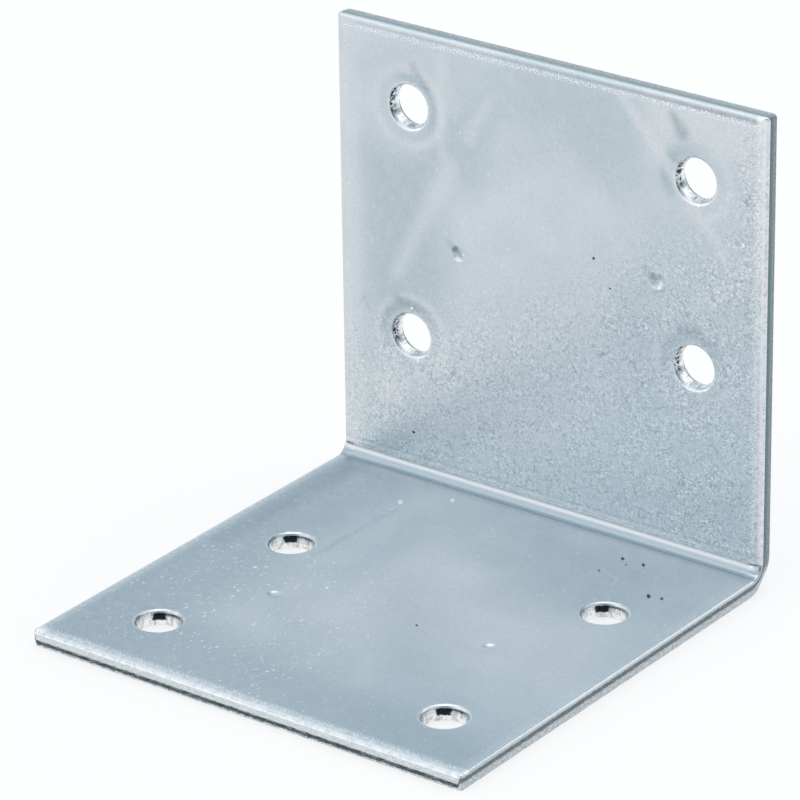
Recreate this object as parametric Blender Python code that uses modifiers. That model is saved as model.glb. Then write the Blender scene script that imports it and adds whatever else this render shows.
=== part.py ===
"""Wide angle bracket of zinc-coated sheet steel.

One blank is sheared and pierced while it lies flat, and is then folded once to a right angle.
The model is made in the same order. The flat blank stands upright with its length along Z, the
punches cut it, and the fold is the last modifier.

Frame: X along the fold, origin at the middle of the base leg's underside. The base leg lies on
z = 0 and reaches along -Y from the fold, and the wall leg stands up along +Z at its far end.
"""

import math

import bmesh
import bpy

MM = 0.001

# ---------------------------------------------------------------- folded size
WIDTH = 60.0 * MM
WALL_LEG = 58.5 * MM
BASE_LEG = 60.5 * MM
SHEET = 2.0 * MM
FOLD_INNER_RADIUS = 1.3 * MM

# Share of the sheet, from the inner face, at which the fold neither stretches nor squeezes it.
NEUTRAL_SHARE = 0.42

# Share of the sheet that is lost at the middle of the fold, where its outer side is drawn thin,
# and how far the thinning runs out onto each flat leg.
FOLD_THINNING = 0.18
FOLD_THINNING_RUN = 0.9 * MM

# How far the squeezed inner fibres stand out of the side edges at the middle of the fold.
FOLD_SWELL = 0.16 * MM

# ---------------------------------------------------------------- sheared edges
# Shares of the sheet's thickness. The edge is drawn over where the tool entered, then comes a
# straight burnished land, then the torn rest that leans in towards the outer face.
EDGE_ROLL_REACH_SHARE = 0.60
EDGE_ROLL_DEPTH_SHARE = 0.24
EDGE_LAND_SHARE = 0.32
EDGE_TEAR_LEAN_SHARE = 0.04

# The four corners of the blank, seen square to the sheet.
CORNER_RADIUS = 0.5 * MM

# ---------------------------------------------------------------- screw holes
# Side and end margins are to the edge of the sheet, fold margins to where the flat leg begins.
# One column on each leg begins further from the fold than the other, by the stagger. The punch
# sits off the middle of the width by the drift.
HOLE_BORE = 5.0 * MM
HOLE_SIDE_MARGIN = 9.9 * MM
WALL_HOLE_END_MARGIN = 9.6 * MM
BASE_HOLE_END_MARGIN = 10.0 * MM
HOLE_FOLD_MARGIN = 16.5 * MM
HOLE_STAGGER = 6.1 * MM
HOLE_DRIFT = 0.4 * MM

# Least metal between two rims in a column. A leg too short for it has only the hole at the end.
HOLE_LEAST_WEB = 2.0 * MM

# Drawn-over edge, land and torn rest, shares of the sheet as on the sheared edges.
HOLE_ROLL_REACH_SHARE = 0.30
HOLE_ROLL_DEPTH_SHARE = 0.20
HOLE_LAND_SHARE = 0.35
HOLE_TEAR_LEAN_SHARE = 0.06

# ---------------------------------------------------------------- punch marks
# Each leg has a pair, struck by hand, which drifts from the pattern across and along the leg.
MARK_WIDTH = 1.9 * MM
MARK_DEPTH = 0.22 * MM
MARK_SIDE_MARGIN = 16.0 * MM
MARK_FOLD_MARGIN = 29.9 * MM
MARK_STAGGER = 3.4 * MM
WALL_MARK_DRIFT = (1.4 * MM, -1.2 * MM)
BASE_MARK_DRIFT = (1.0 * MM, 1.2 * MM)

# ---------------------------------------------------------------- fineness
FOLD_STEPS = 12
RUN_STEPS = 3
EDGE_ROLL_STEPS = 4
CORNER_STEPS = 3
HOLE_ROLL_STEPS = 4
HOLE_SIDES = 40
MARK_STEPS = 3
MARK_SIDES = 20
SMOOTH_BELOW = math.radians(32.0)

# ---------------------------------------------------------------- worked out
FOLD_OUTER_RADIUS = FOLD_INNER_RADIUS + SHEET
NEUTRAL_DEPTH = NEUTRAL_SHARE * SHEET
FOLD_LENGTH = math.pi / 2 * (FOLD_INNER_RADIUS + NEUTRAL_DEPTH)
TOOL_CLEARANCE = 0.5 * SHEET
SAME_PLACE = 0.001 * MM
WELD_DISTANCE = 0.01 * MM

ZINC_COLOUR = (0.60, 0.65, 0.68, 1.0)
ZINC_ROUGHNESS = 0.36
ZINC_METALLIC = 1.0


class Leg:
    """One flat leg of the bracket, and where its distances from the corner lie on the blank.

    The direction is 1 for the leg above the fold on the upright blank and -1 for the one below.
    The near side, -1 or 1 along X, is the one whose column of holes begins nearer the fold.
    """

    def __init__(self, name, length, direction, near_side, end_margin, mark_drift):
        self.name = name
        self.length = length
        self.direction = direction
        self.near_side = near_side
        self.end_margin = end_margin
        self.mark_drift = mark_drift

    def blank_height(self, from_corner):
        """Height on the upright blank of a line this far from the sharp outer corner."""
        flat = from_corner - FOLD_OUTER_RADIUS
        return flat if self.direction > 0 else -FOLD_LENGTH - flat

    def rows(self, side):
        """Distances from the corner of the screw holes in the column on one side (-1 or 1)."""
        first = FOLD_OUTER_RADIUS + HOLE_FOLD_MARGIN
        if side != self.near_side:
            first += HOLE_STAGGER
        last = self.length - self.end_margin
        apart = HOLE_BORE + 2 * HOLE_ROLL_REACH_SHARE * SHEET + HOLE_LEAST_WEB
        return [first, last] if last - first >= apart else [last]

    def mark_place(self, side):
        """Place across, and distance from the corner, of the punch mark on one side (-1 or 1)."""
        across, along = self.mark_drift
        row = FOLD_OUTER_RADIUS + MARK_FOLD_MARGIN + along
        row += 0.0 if side == self.near_side else MARK_STAGGER
        return side * (WIDTH / 2 - MARK_SIDE_MARGIN) + across, row


# The pattern is the same on both legs once the blank is turned end for end, so the hole nearer
# the fold is on the left of the wall leg and on the right of the base leg.
WALL = Leg("wall", WALL_LEG, 1, -1, WALL_HOLE_END_MARGIN, WALL_MARK_DRIFT)
BASE = Leg("base", BASE_LEG, -1, 1, BASE_HOLE_END_MARGIN, BASE_MARK_DRIFT)


def clear_scene():
    """Remove every object that the file opened with."""
    for leftover in list(bpy.data.objects):
        bpy.data.objects.remove(leftover, do_unlink=True)


def new_collection(name):
    """Make a collection in the scene."""
    collection = bpy.data.collections.new(name)
    bpy.context.scene.collection.children.link(collection)
    return collection


def zinc_material():
    """Bright zinc on steel."""
    material = bpy.data.materials.new("zinc_coated_steel")
    material.use_nodes = True
    shader = material.node_tree.nodes["Principled BSDF"]
    shader.inputs["Base Color"].default_value = ZINC_COLOUR
    shader.inputs["Roughness"].default_value = ZINC_ROUGHNESS
    shader.inputs["Metallic"].default_value = ZINC_METALLIC
    material.diffuse_color = ZINC_COLOUR
    return material


def cut_across(mesh, point, normal):
    """Cut an edge loop right round the mesh, which keeps both halves."""
    everything = mesh.verts[:] + mesh.edges[:] + mesh.faces[:]
    bmesh.ops.bisect_plane(mesh, geom=everything, plane_co=point, plane_no=normal)


def sheared_blank():
    """Mesh of the flat blank with its sheared edges, inner face towards -Y.

    The drawn-over edge is wider than it is deep. It is bevelled round on a block whose thickness
    is stretched by the same ratio, and the block is then pressed back to the sheet's thickness.
    """
    roll_reach = EDGE_ROLL_REACH_SHARE * SHEET
    roll_depth = EDGE_ROLL_DEPTH_SHARE * SHEET
    tear_start = roll_depth + EDGE_LAND_SHARE * SHEET
    tear_lean = EDGE_TEAR_LEAN_SHARE * SHEET
    stretch = roll_reach / roll_depth
    top = WALL.blank_height(WALL.length)
    foot = BASE.blank_height(BASE.length)
    middle = (top + foot) / 2

    mesh = bmesh.new()
    bmesh.ops.create_cube(mesh, size=1.0)
    bmesh.ops.scale(mesh, vec=(WIDTH, SHEET * stretch, top - foot), verts=mesh.verts)
    bmesh.ops.translate(mesh, vec=(0.0, SHEET * stretch / 2, middle), verts=mesh.verts)

    outer_corners = [vert for vert in mesh.verts if vert.co.y > SHEET * stretch / 2]
    inner_edges = [edge for edge in mesh.edges
                   if all(vert not in outer_corners for vert in edge.verts)]
    bmesh.ops.bevel(mesh, geom=inner_edges, offset=roll_reach, offset_type="OFFSET",
                    segments=EDGE_ROLL_STEPS, profile=0.5, affect="EDGES", clamp_overlap=False)
    bmesh.ops.scale(mesh, vec=(1.0, 1.0 / stretch, 1.0), verts=mesh.verts)

    cut_across(mesh, (0.0, tear_start, 0.0), (0.0, 1.0, 0.0))
    for corner in outer_corners:
        corner.co.x -= math.copysign(tear_lean, corner.co.x)
        corner.co.z -= math.copysign(tear_lean, corner.co.z - middle)

    round_corners(mesh, (top - foot) / 2, middle)

    for step in range(FOLD_STEPS + 1):
        cut_across(mesh, (0.0, 0.0, -FOLD_LENGTH * step / FOLD_STEPS), (0.0, 0.0, 1.0))
    for step in range(1, RUN_STEPS + 1):
        run = FOLD_THINNING_RUN * step / RUN_STEPS
        cut_across(mesh, (0.0, 0.0, run), (0.0, 0.0, 1.0))
        cut_across(mesh, (0.0, 0.0, -FOLD_LENGTH - run), (0.0, 0.0, 1.0))
    work_fold(mesh)
    bmesh.ops.translate(mesh, vec=(0.0, -NEUTRAL_DEPTH, 0.0), verts=mesh.verts)
    return mesh


def round_corners(mesh, half_length, middle):
    """Round the blank's four corners, whose short edges lie as far from its side as from its end."""
    def on_corner(vert):
        from_side = WIDTH / 2 - abs(vert.co.x)
        from_end = half_length - abs(vert.co.z - middle)
        return abs(from_side - from_end) < SAME_PLACE

    corner_edges = [edge for edge in mesh.edges
                    if edge.calc_length() < SHEET and all(on_corner(vert) for vert in edge.verts)]
    bmesh.ops.bevel(mesh, geom=corner_edges, offset=CORNER_RADIUS, offset_type="OFFSET",
                    segments=CORNER_STEPS, profile=0.5, affect="EDGES", clamp_overlap=False)


def work_fold(mesh):
    """Thin the sheet over the fold, and work its side edges.

    They are pushed out where the fold squeezes the sheet and drawn in where it pulls.
    """
    half = FOLD_LENGTH / 2
    for vert in mesh.verts:
        off_middle = abs(vert.co.z + half)
        if off_middle < half:
            squeeze = 1.0 - vert.co.y / NEUTRAL_DEPTH
            swell = FOLD_SWELL * squeeze * math.cos(math.pi / 2 * off_middle / half) ** 2
            vert.co.x += math.copysign(1.0, vert.co.x) * swell
        if off_middle < half + FOLD_THINNING_RUN:
            share = math.cos(math.pi / 2 * off_middle / (half + FOLD_THINNING_RUN)) ** 2
            vert.co.y *= 1.0 - FOLD_THINNING * share


def hole_profile():
    """Half section of a screw hole's punch as (radius, height), height 0 on the sheet's inner face."""
    bore = HOLE_BORE / 2
    reach = HOLE_ROLL_REACH_SHARE * SHEET
    depth = HOLE_ROLL_DEPTH_SHARE * SHEET
    lean = HOLE_TEAR_LEAN_SHARE * SHEET
    tear_start = depth + HOLE_LAND_SHARE * SHEET
    drawn = [(bore + reach * (1.0 - math.sin(turn)), depth * (math.cos(turn) - 1.0))
             for turn in (math.pi / 2 * step / HOLE_ROLL_STEPS for step in range(HOLE_ROLL_STEPS + 1))]
    (rim, _), (inside, below) = drawn[:2]
    slope = -below / (rim - inside)
    lip = (rim + reach, reach * slope)
    tear_slope = lean / (SHEET - tear_start)
    through = (bore + lean + TOOL_CLEARANCE * tear_slope, -SHEET - TOOL_CLEARANCE)
    head = [(0.0, TOOL_CLEARANCE), (lip[0], TOOL_CLEARANCE)]
    return head + [lip] + drawn[1:] + [(bore, -tear_start), through, (0.0, through[1])]


def mark_profile():
    """Half section of the punch that leaves a shallow round mark, as (radius, height)."""
    half = MARK_WIDTH / 2
    ball = (half ** 2 + MARK_DEPTH ** 2) / (2 * MARK_DEPTH)
    edge_turn = math.asin(half / ball)
    turns = [edge_turn * step / MARK_STEPS for step in range(MARK_STEPS + 1, -1, -1)]
    arc = [(ball * math.sin(turn), ball * (1.0 - math.cos(turn)) - MARK_DEPTH) for turn in turns]
    return [(0.0, TOOL_CLEARANCE), (arc[0][0], TOOL_CLEARANCE)] + arc


def turned_mesh(name, profile):
    """Mesh of an open half section in the XZ plane, ready for a Screw modifier."""
    mesh = bpy.data.meshes.new(name)
    edges = [(index, index + 1) for index in range(len(profile) - 1)]
    mesh.from_pydata([(radius, 0.0, height) for radius, height in profile], edges, [])
    return mesh


def add_punch(name, mesh, sides, blank, height, across, collection):
    """Place one turned punch square to the blank, and let it cut.

    The punch stands on the inner face at this height on the blank and this far across it.
    """
    punch = bpy.data.objects.new(name, mesh)
    collection.objects.link(punch)
    punch.parent = blank
    punch.location = (across, -NEUTRAL_DEPTH, height)
    punch.rotation_euler = (math.pi / 2, 0.0, 0.0)
    punch.display_type = "WIRE"
    punch.hide_render = True
    turn = punch.modifiers.new("turn", "SCREW")
    turn.axis = "Z"
    turn.steps = sides
    turn.render_steps = sides
    turn.use_merge_vertices = True
    turn.merge_threshold = WELD_DISTANCE
    cut = blank.modifiers.new(name, "BOOLEAN")
    cut.operation = "DIFFERENCE"
    cut.solver = "EXACT"
    cut.object = punch


def pierce(blank, collection):
    """Punch the screw holes and the small marks of both legs."""
    hole_mesh = turned_mesh("hole_punch", hole_profile())
    mark_mesh = turned_mesh("mark_punch", mark_profile())
    for leg in (WALL, BASE):
        for side, side_name in ((-1, "left"), (1, "right")):
            column = side * (WIDTH / 2 - HOLE_SIDE_MARGIN) + HOLE_DRIFT
            for number, row in enumerate(leg.rows(side)):
                add_punch(f"{leg.name}_{side_name}_hole_{number}", hole_mesh, HOLE_SIDES, blank,
                          leg.blank_height(row), column, collection)
            across, row = leg.mark_place(side)
            add_punch(f"{leg.name}_{side_name}_mark", mark_mesh, MARK_SIDES, blank,
                      leg.blank_height(row), across, collection)


def fold(blank):
    """Bend the blank a quarter turn over the fold zone, which ends where the wall leg begins."""
    top = WALL.blank_height(WALL.length)
    foot = BASE.blank_height(BASE.length)
    bend = blank.modifiers.new("fold", "SIMPLE_DEFORM")
    bend.deform_method = "BEND"
    bend.deform_axis = "X"
    bend.angle = -math.pi / 2
    bend.limits = ((-FOLD_LENGTH - foot) / (top - foot), -foot / (top - foot))


def build():
    """Build the bracket."""
    clear_scene()
    product = new_collection("angle_bracket")
    tools = new_collection("bracket_punches")
    mesh = bpy.data.meshes.new("angle_bracket")
    blank_mesh = sheared_blank()
    blank_mesh.to_mesh(mesh)
    blank_mesh.free()
    mesh.materials.append(zinc_material())
    mesh.shade_smooth()
    mesh.set_sharp_from_angle(angle=SMOOTH_BELOW)
    bracket = bpy.data.objects.new("angle_bracket", mesh)
    product.objects.link(bracket)
    bracket.location = (0.0, BASE_LEG / 2 - SHEET + NEUTRAL_DEPTH, FOLD_OUTER_RADIUS)
    pierce(bracket, tools)
    fold(bracket)


build()
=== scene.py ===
"""Looks of the angle bracket: one folded sheet of zinc-coated steel on a pale studio floor.

Lengths are millimetres in the classes and become metres where a mesh is made or the camera stands.
A place on the bracket is given by the flat coordinates of its sheet: x across, s along the blank,
upwards from the fold on the wall leg and downwards below it on the base leg, and the depth under
the inner face.
"""

import logging
import math
from dataclasses import dataclass
from enum import Enum

import bpy
import numpy as np
from mathutils import Matrix, Vector


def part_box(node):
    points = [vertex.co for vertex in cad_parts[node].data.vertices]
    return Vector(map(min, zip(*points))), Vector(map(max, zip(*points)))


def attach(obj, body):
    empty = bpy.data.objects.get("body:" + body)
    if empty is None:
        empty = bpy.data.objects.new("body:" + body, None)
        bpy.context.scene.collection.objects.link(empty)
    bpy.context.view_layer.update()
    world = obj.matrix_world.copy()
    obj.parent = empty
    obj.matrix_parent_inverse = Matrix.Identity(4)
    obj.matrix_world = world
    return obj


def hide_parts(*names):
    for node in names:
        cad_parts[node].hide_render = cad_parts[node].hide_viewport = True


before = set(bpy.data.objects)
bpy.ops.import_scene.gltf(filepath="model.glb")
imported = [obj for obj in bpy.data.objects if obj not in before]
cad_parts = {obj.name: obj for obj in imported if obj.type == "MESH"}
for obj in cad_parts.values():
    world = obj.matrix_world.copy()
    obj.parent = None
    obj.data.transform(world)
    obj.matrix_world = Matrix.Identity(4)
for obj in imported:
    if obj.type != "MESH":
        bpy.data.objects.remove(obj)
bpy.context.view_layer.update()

MM = 0.001
FAR = 1e3  # further off than any place of the sheet
NODE = "angle_bracket"
LOG = logging.getLogger("angle_bracket")

Array = np.ndarray
Socket = bpy.types.NodeSocket
Colour = tuple[float, float, float]
Place = tuple[float, float]
Pair = tuple[float, float]


class Leg(Enum):
    """The two flat legs of the bracket."""

    WALL = "wall"
    BASE = "base"


class Zone(Enum):
    """Parts of the surface that look different. The value is the material slot on the mesh."""

    SKIN = 0
    EDGE_LAND = 1
    EDGE_TEAR = 2
    BORE = 3
    BORE_TEAR = 4


class Tone(Enum):
    """Ways in which handling and storing have changed the zinc skin, together with painted
    highlight, reflection and shade. Each is a mask on the mesh.
    """

    RUBBED_AND_HIGHLIGHT = "rubbed_and_highlight"
    COOL = "cool"
    GRAINED = "grained"
    FLECKED = "flecked"
    DARK = "dark"


def smooth_step(value: Array, low: float, high: float) -> Array:
    """Ease from 0 at low to 1 at high.

    Args:
        value: what is eased.
        low: where the result is 0.
        high: where the result is 1.

    Returns:
        The eased values, of the same shape.
    """
    share = np.clip((value - low) / (high - low), 0.0, 1.0)
    return share * share * (3.0 - 2.0 * share)


def from_line(x: Array, row: Array, start: Place, end: Place) -> tuple[Array, Array]:
    """Measure places from a straight line between two places.

    Args:
        x: places across.
        row: distances from the corner on the line's leg.
        start: where the line begins.
        end: where it ends.

    Returns:
        How far along the line each place lies, from 0 to 1, and its distance from the line.
    """
    (x0, r0), (x1, r1) = start, end
    dx, dr = x1 - x0, r1 - r0
    share = np.clip(((x - x0) * dx + (row - r0) * dr) / (dx * dx + dr * dr), 0.0, 1.0)
    return share, np.hypot(x - x0 - share * dx, row - r0 - share * dr)


@dataclass(frozen=True)
class SheetForm:
    """The folded sheet: its sizes, and the way from flat coordinates to the folded bracket."""

    width: float
    wall_leg: float
    base_leg: float
    back: float
    thickness: float = 2.0
    inner_radius: float = 1.3
    neutral_share: float = 0.42
    swell: float = 0.10
    swell_reach: float = 2.5
    thinning: float = 0.18
    thinning_run: float = 0.9

    @classmethod
    def from_frame(cls, swell_stand: float = 0.0595) -> "SheetForm":
        """Read the outer sizes from the CAD node.

        Args:
            swell_stand: how far the CAD fold's swelling stands out of each side edge.

        Returns:
            The form of the sheet.
        """
        low, high = (np.array(corner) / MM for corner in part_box(NODE))
        return cls(
            width=round(high[0] - low[0] - 2 * swell_stand, 2),
            wall_leg=round(high[2] - low[2], 3),
            base_leg=round(high[1] - low[1], 3),
            back=round(float(high[1]), 3),
        )

    @property
    def side(self) -> float:
        """Half the width."""
        return self.width / 2

    @property
    def outer_radius(self) -> float:
        """Radius of the outer face at the fold."""
        return self.inner_radius + self.thickness

    @property
    def fold_length(self) -> float:
        """Length of the sheet's neutral layer round the fold."""
        return math.pi / 2 * (self.inner_radius + self.neutral_share * self.thickness)

    @property
    def top(self) -> float:
        """Flat coordinate s of the wall leg's free end."""
        return self.wall_leg - self.outer_radius

    @property
    def bottom(self) -> float:
        """Flat coordinate s of the base leg's free end."""
        return -self.fold_length - (self.base_leg - self.outer_radius)

    @property
    def middle(self) -> float:
        """Flat coordinate s of the middle of the blank."""
        return (self.top + self.bottom) / 2

    @property
    def half_length(self) -> float:
        """Half the length of the blank."""
        return (self.top - self.bottom) / 2

    def to_side(self, x: Array) -> Array:
        """Distances of places from the nearer side of the blank."""
        return self.side - np.abs(x)

    def to_end(self, s: Array) -> Array:
        """Distances of places from the nearer end of the blank."""
        return self.half_length - np.abs(s - self.middle)

    def along(self, leg: Leg, from_corner: float) -> float:
        """Find a line across a leg in flat coordinates.

        Args:
            leg: the leg that the line is on.
            from_corner: distance of the line from the sharp outer corner.

        Returns:
            The flat coordinate s.
        """
        flat = from_corner - self.outer_radius
        return flat if leg is Leg.WALL else -self.fold_length - flat

    def from_corner(self, s: Array) -> tuple[Array, Array]:
        """Turn flat coordinates into distances from the corner.

        Args:
            s: flat coordinates along the blank.

        Returns:
            The distances from the sharp outer corner on the wall leg and on the base leg. A point
            that isn't on a leg gets a distance under that leg's first flat line.
        """
        return s + self.outer_radius, -self.fold_length - s + self.outer_radius

    def folded(self, flat: Array) -> Array:
        """Fold points of the flat sheet.

        Args:
            flat: rows of x, s and depth.

        Returns:
            Rows of X, Y and Z in the frame of the bracket, in millimetres.
        """
        x, s, depth = flat.T
        half = self.fold_length / 2
        worked = self._round_fold(s, half)
        drawn = self._round_fold(s, half + self.thinning_run)
        squeeze = 1.0 - depth / (self.neutral_share * self.thickness)
        near_side = smooth_step(np.abs(x), self.side - self.swell_reach, self.side)
        x = x + np.sign(x) * self.swell * squeeze * worked * near_side
        turn = np.clip(-s / self.fold_length, 0.0, 1.0) * math.pi / 2
        radius = self.inner_radius + depth * (1.0 - self.thinning * drawn)
        on_base = np.minimum(s + self.fold_length, 0.0)
        y = self.back - self.outer_radius + radius * np.cos(turn) + on_base
        z = self.outer_radius - radius * np.sin(turn) + np.maximum(s, 0.0)
        return np.stack([x, y, z], axis=1)

    def _round_fold(self, s: Array, reach: float) -> Array:
        """Ease from 1 at the middle of the fold to 0 at a reach from it.

        Args:
            s: flat coordinates along the blank.
            reach: where the result is 0.

        Returns:
            The eased values.
        """
        off_middle = np.abs(s + self.fold_length / 2)
        return np.cos(math.pi / 2 * np.clip(off_middle / reach, 0.0, 1.0)) ** 2


@dataclass(frozen=True)
class PlanCorner:
    """The rounded corner of the blank, seen square to the sheet."""

    radius: float = 0.5

    def rounded(self, x: Array, s: Array, form: SheetForm) -> tuple[Array, Array]:
        """Move the points near a corner of a square-cornered blank onto round loops.

        Args:
            x: places across.
            s: places along.
            form: the sheet.

        Returns:
            The moved x and s.
        """
        from_side, from_end = form.to_side(x), form.to_end(s)
        inset = np.minimum(from_side, from_end)
        other = np.maximum(from_side, from_end)
        near = (inset < self.radius) & (other < self.radius)
        loop = np.maximum(self.radius - inset, 1e-9)
        angle = np.radians(45.0) * (1.0 - np.clip((other - inset) / loop, 0.0, 1.0))
        close = self.radius - loop * np.cos(angle)
        far = self.radius - loop * np.sin(angle)
        side_first = from_side <= from_end
        new_side = np.where(side_first, close, far)
        new_end = np.where(side_first, far, close)
        end = np.sign(s - form.middle)
        x_new = np.where(near, np.sign(x) * (form.side - new_side), x)
        s_new = np.where(near, form.middle + end * (form.half_length - new_end), s)
        return x_new, s_new


@dataclass(frozen=True)
class ShearedEdge:
    """The border of the blank: drawn over at the inner face, then a straight land, then torn.

    The drawn-over part slopes gently over its reach and turns tightly into the land.
    """

    reach: float = 1.20
    sink: float = 0.32
    slope_power: float = 1.4
    turn: float = 0.25
    tear_start: float = 1.12
    lean: float = 0.08
    slope_steps: int = 5
    turn_steps: int = 5

    def stations(self) -> Array:
        """Distances from the border at which the drawn-over edge has a line of points."""
        tight = self.turn * (1.0 - np.sin(np.linspace(math.pi / 2, 0.0, self.turn_steps + 1)))
        return np.concatenate([tight, np.linspace(self.turn, self.reach, self.slope_steps + 1)[1:]])

    def drop(self, distance: Array, firmness: Array) -> Array:
        """Work out how deep the inner face lies near the border.

        Args:
            distance: distances from the border.
            firmness: how much of the gentle slope each place keeps, from 0 to 1.

        Returns:
            The depth at each place.
        """
        share = np.clip(1.0 - distance / self.reach, 0.0, 1.0)
        inside = np.clip(self.turn - distance, 0.0, self.turn)
        slope = self.sink * firmness * share**self.slope_power
        return slope + self.turn - np.sqrt(self.turn**2 - inside**2)


@dataclass(frozen=True)
class ScrewHole:
    """A pierced hole, with the section of its rim and bore."""

    x: float
    s: float
    bore: float = 2.5
    flare: float = 0.14
    reach: float = 0.46
    depth: float = 0.36
    land: float = 0.92
    lean: float = 0.26
    half_patch: float = 3.9
    steps: int = 6

    @property
    def rim(self) -> float:
        """Radius at which the flat face begins."""
        return self.bore + self.flare + self.reach

    def drop(self, radius: Array) -> Array:
        """How deep the inner face lies at some distance from the hole's axis."""
        share = np.clip((self.rim - radius) / self.reach, 0.0, 1.0)
        return self.depth * (1.0 - np.sqrt(np.maximum(1.0 - share * share, 0.0)))


@dataclass(frozen=True)
class PunchMark:
    """A shallow round mark left by a pointed punch."""

    x: float
    s: float
    radius: float = 0.95
    depth: float = 0.22
    lip: float = 0.03
    lip_place: float = 1.15
    lip_width: float = 0.25

    def drop(self, radius: Array) -> Array:
        """Work out the depth of the mark, with its slightly raised lip.

        Args:
            radius: distances from the middle of the mark.

        Returns:
            The depth at each of them.
        """
        share = np.clip(radius / self.radius, 0.0, 1.0)
        bowl = self.depth * (1.0 - share * share)
        off_lip = (radius - self.radius * self.lip_place) / self.lip_width
        return bowl - self.lip * np.exp(-(off_lip**2))


@dataclass(frozen=True)
class Pattern:
    """Where the holes and the punch marks are, as distances from the sides and the corner."""

    column: float = 20.1
    drift: float = 0.4
    near_row: float = 19.8
    far_row: float = 25.9
    wall_end_margin: float = 9.6
    base_end_margin: float = 10.0
    wall_marks: tuple[Place, ...] = ((-12.6, 32.0), (15.4, 35.4))
    base_marks: tuple[Place, ...] = ((15.0, 34.4), (-13.0, 37.8))

    def holes(self, form: SheetForm) -> list[ScrewHole]:
        """List the eight screw holes.

        Args:
            form: the sheet.

        Returns:
            The holes in flat coordinates. The nearer one is on the left of the wall leg and on the
            right of the base leg.
        """
        found = []
        for leg, near_side, end_row in (
            (Leg.WALL, -1, form.wall_leg - self.wall_end_margin),
            (Leg.BASE, 1, form.base_leg - self.base_end_margin),
        ):
            for side in (-1, 1):
                first = self.near_row if side == near_side else self.far_row
                for row in (first, end_row):
                    found.append(ScrewHole(side * self.column + self.drift, form.along(leg, row)))
        return found

    def marks(self, form: SheetForm) -> list[PunchMark]:
        """List the four punch marks.

        Args:
            form: the sheet.

        Returns:
            The marks in flat coordinates.
        """
        placed = [(Leg.WALL, place) for place in self.wall_marks]
        placed += [(Leg.BASE, place) for place in self.base_marks]
        return [PunchMark(x, form.along(leg, row)) for leg, (x, row) in placed]


@dataclass(frozen=True)
class Patch:
    """A rectangle of the face's grid that is meshed in rings round a circle instead."""

    low: Place
    high: Place
    centre: Place
    radii: tuple[float, ...]
    blends: int
    closed: bool


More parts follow.
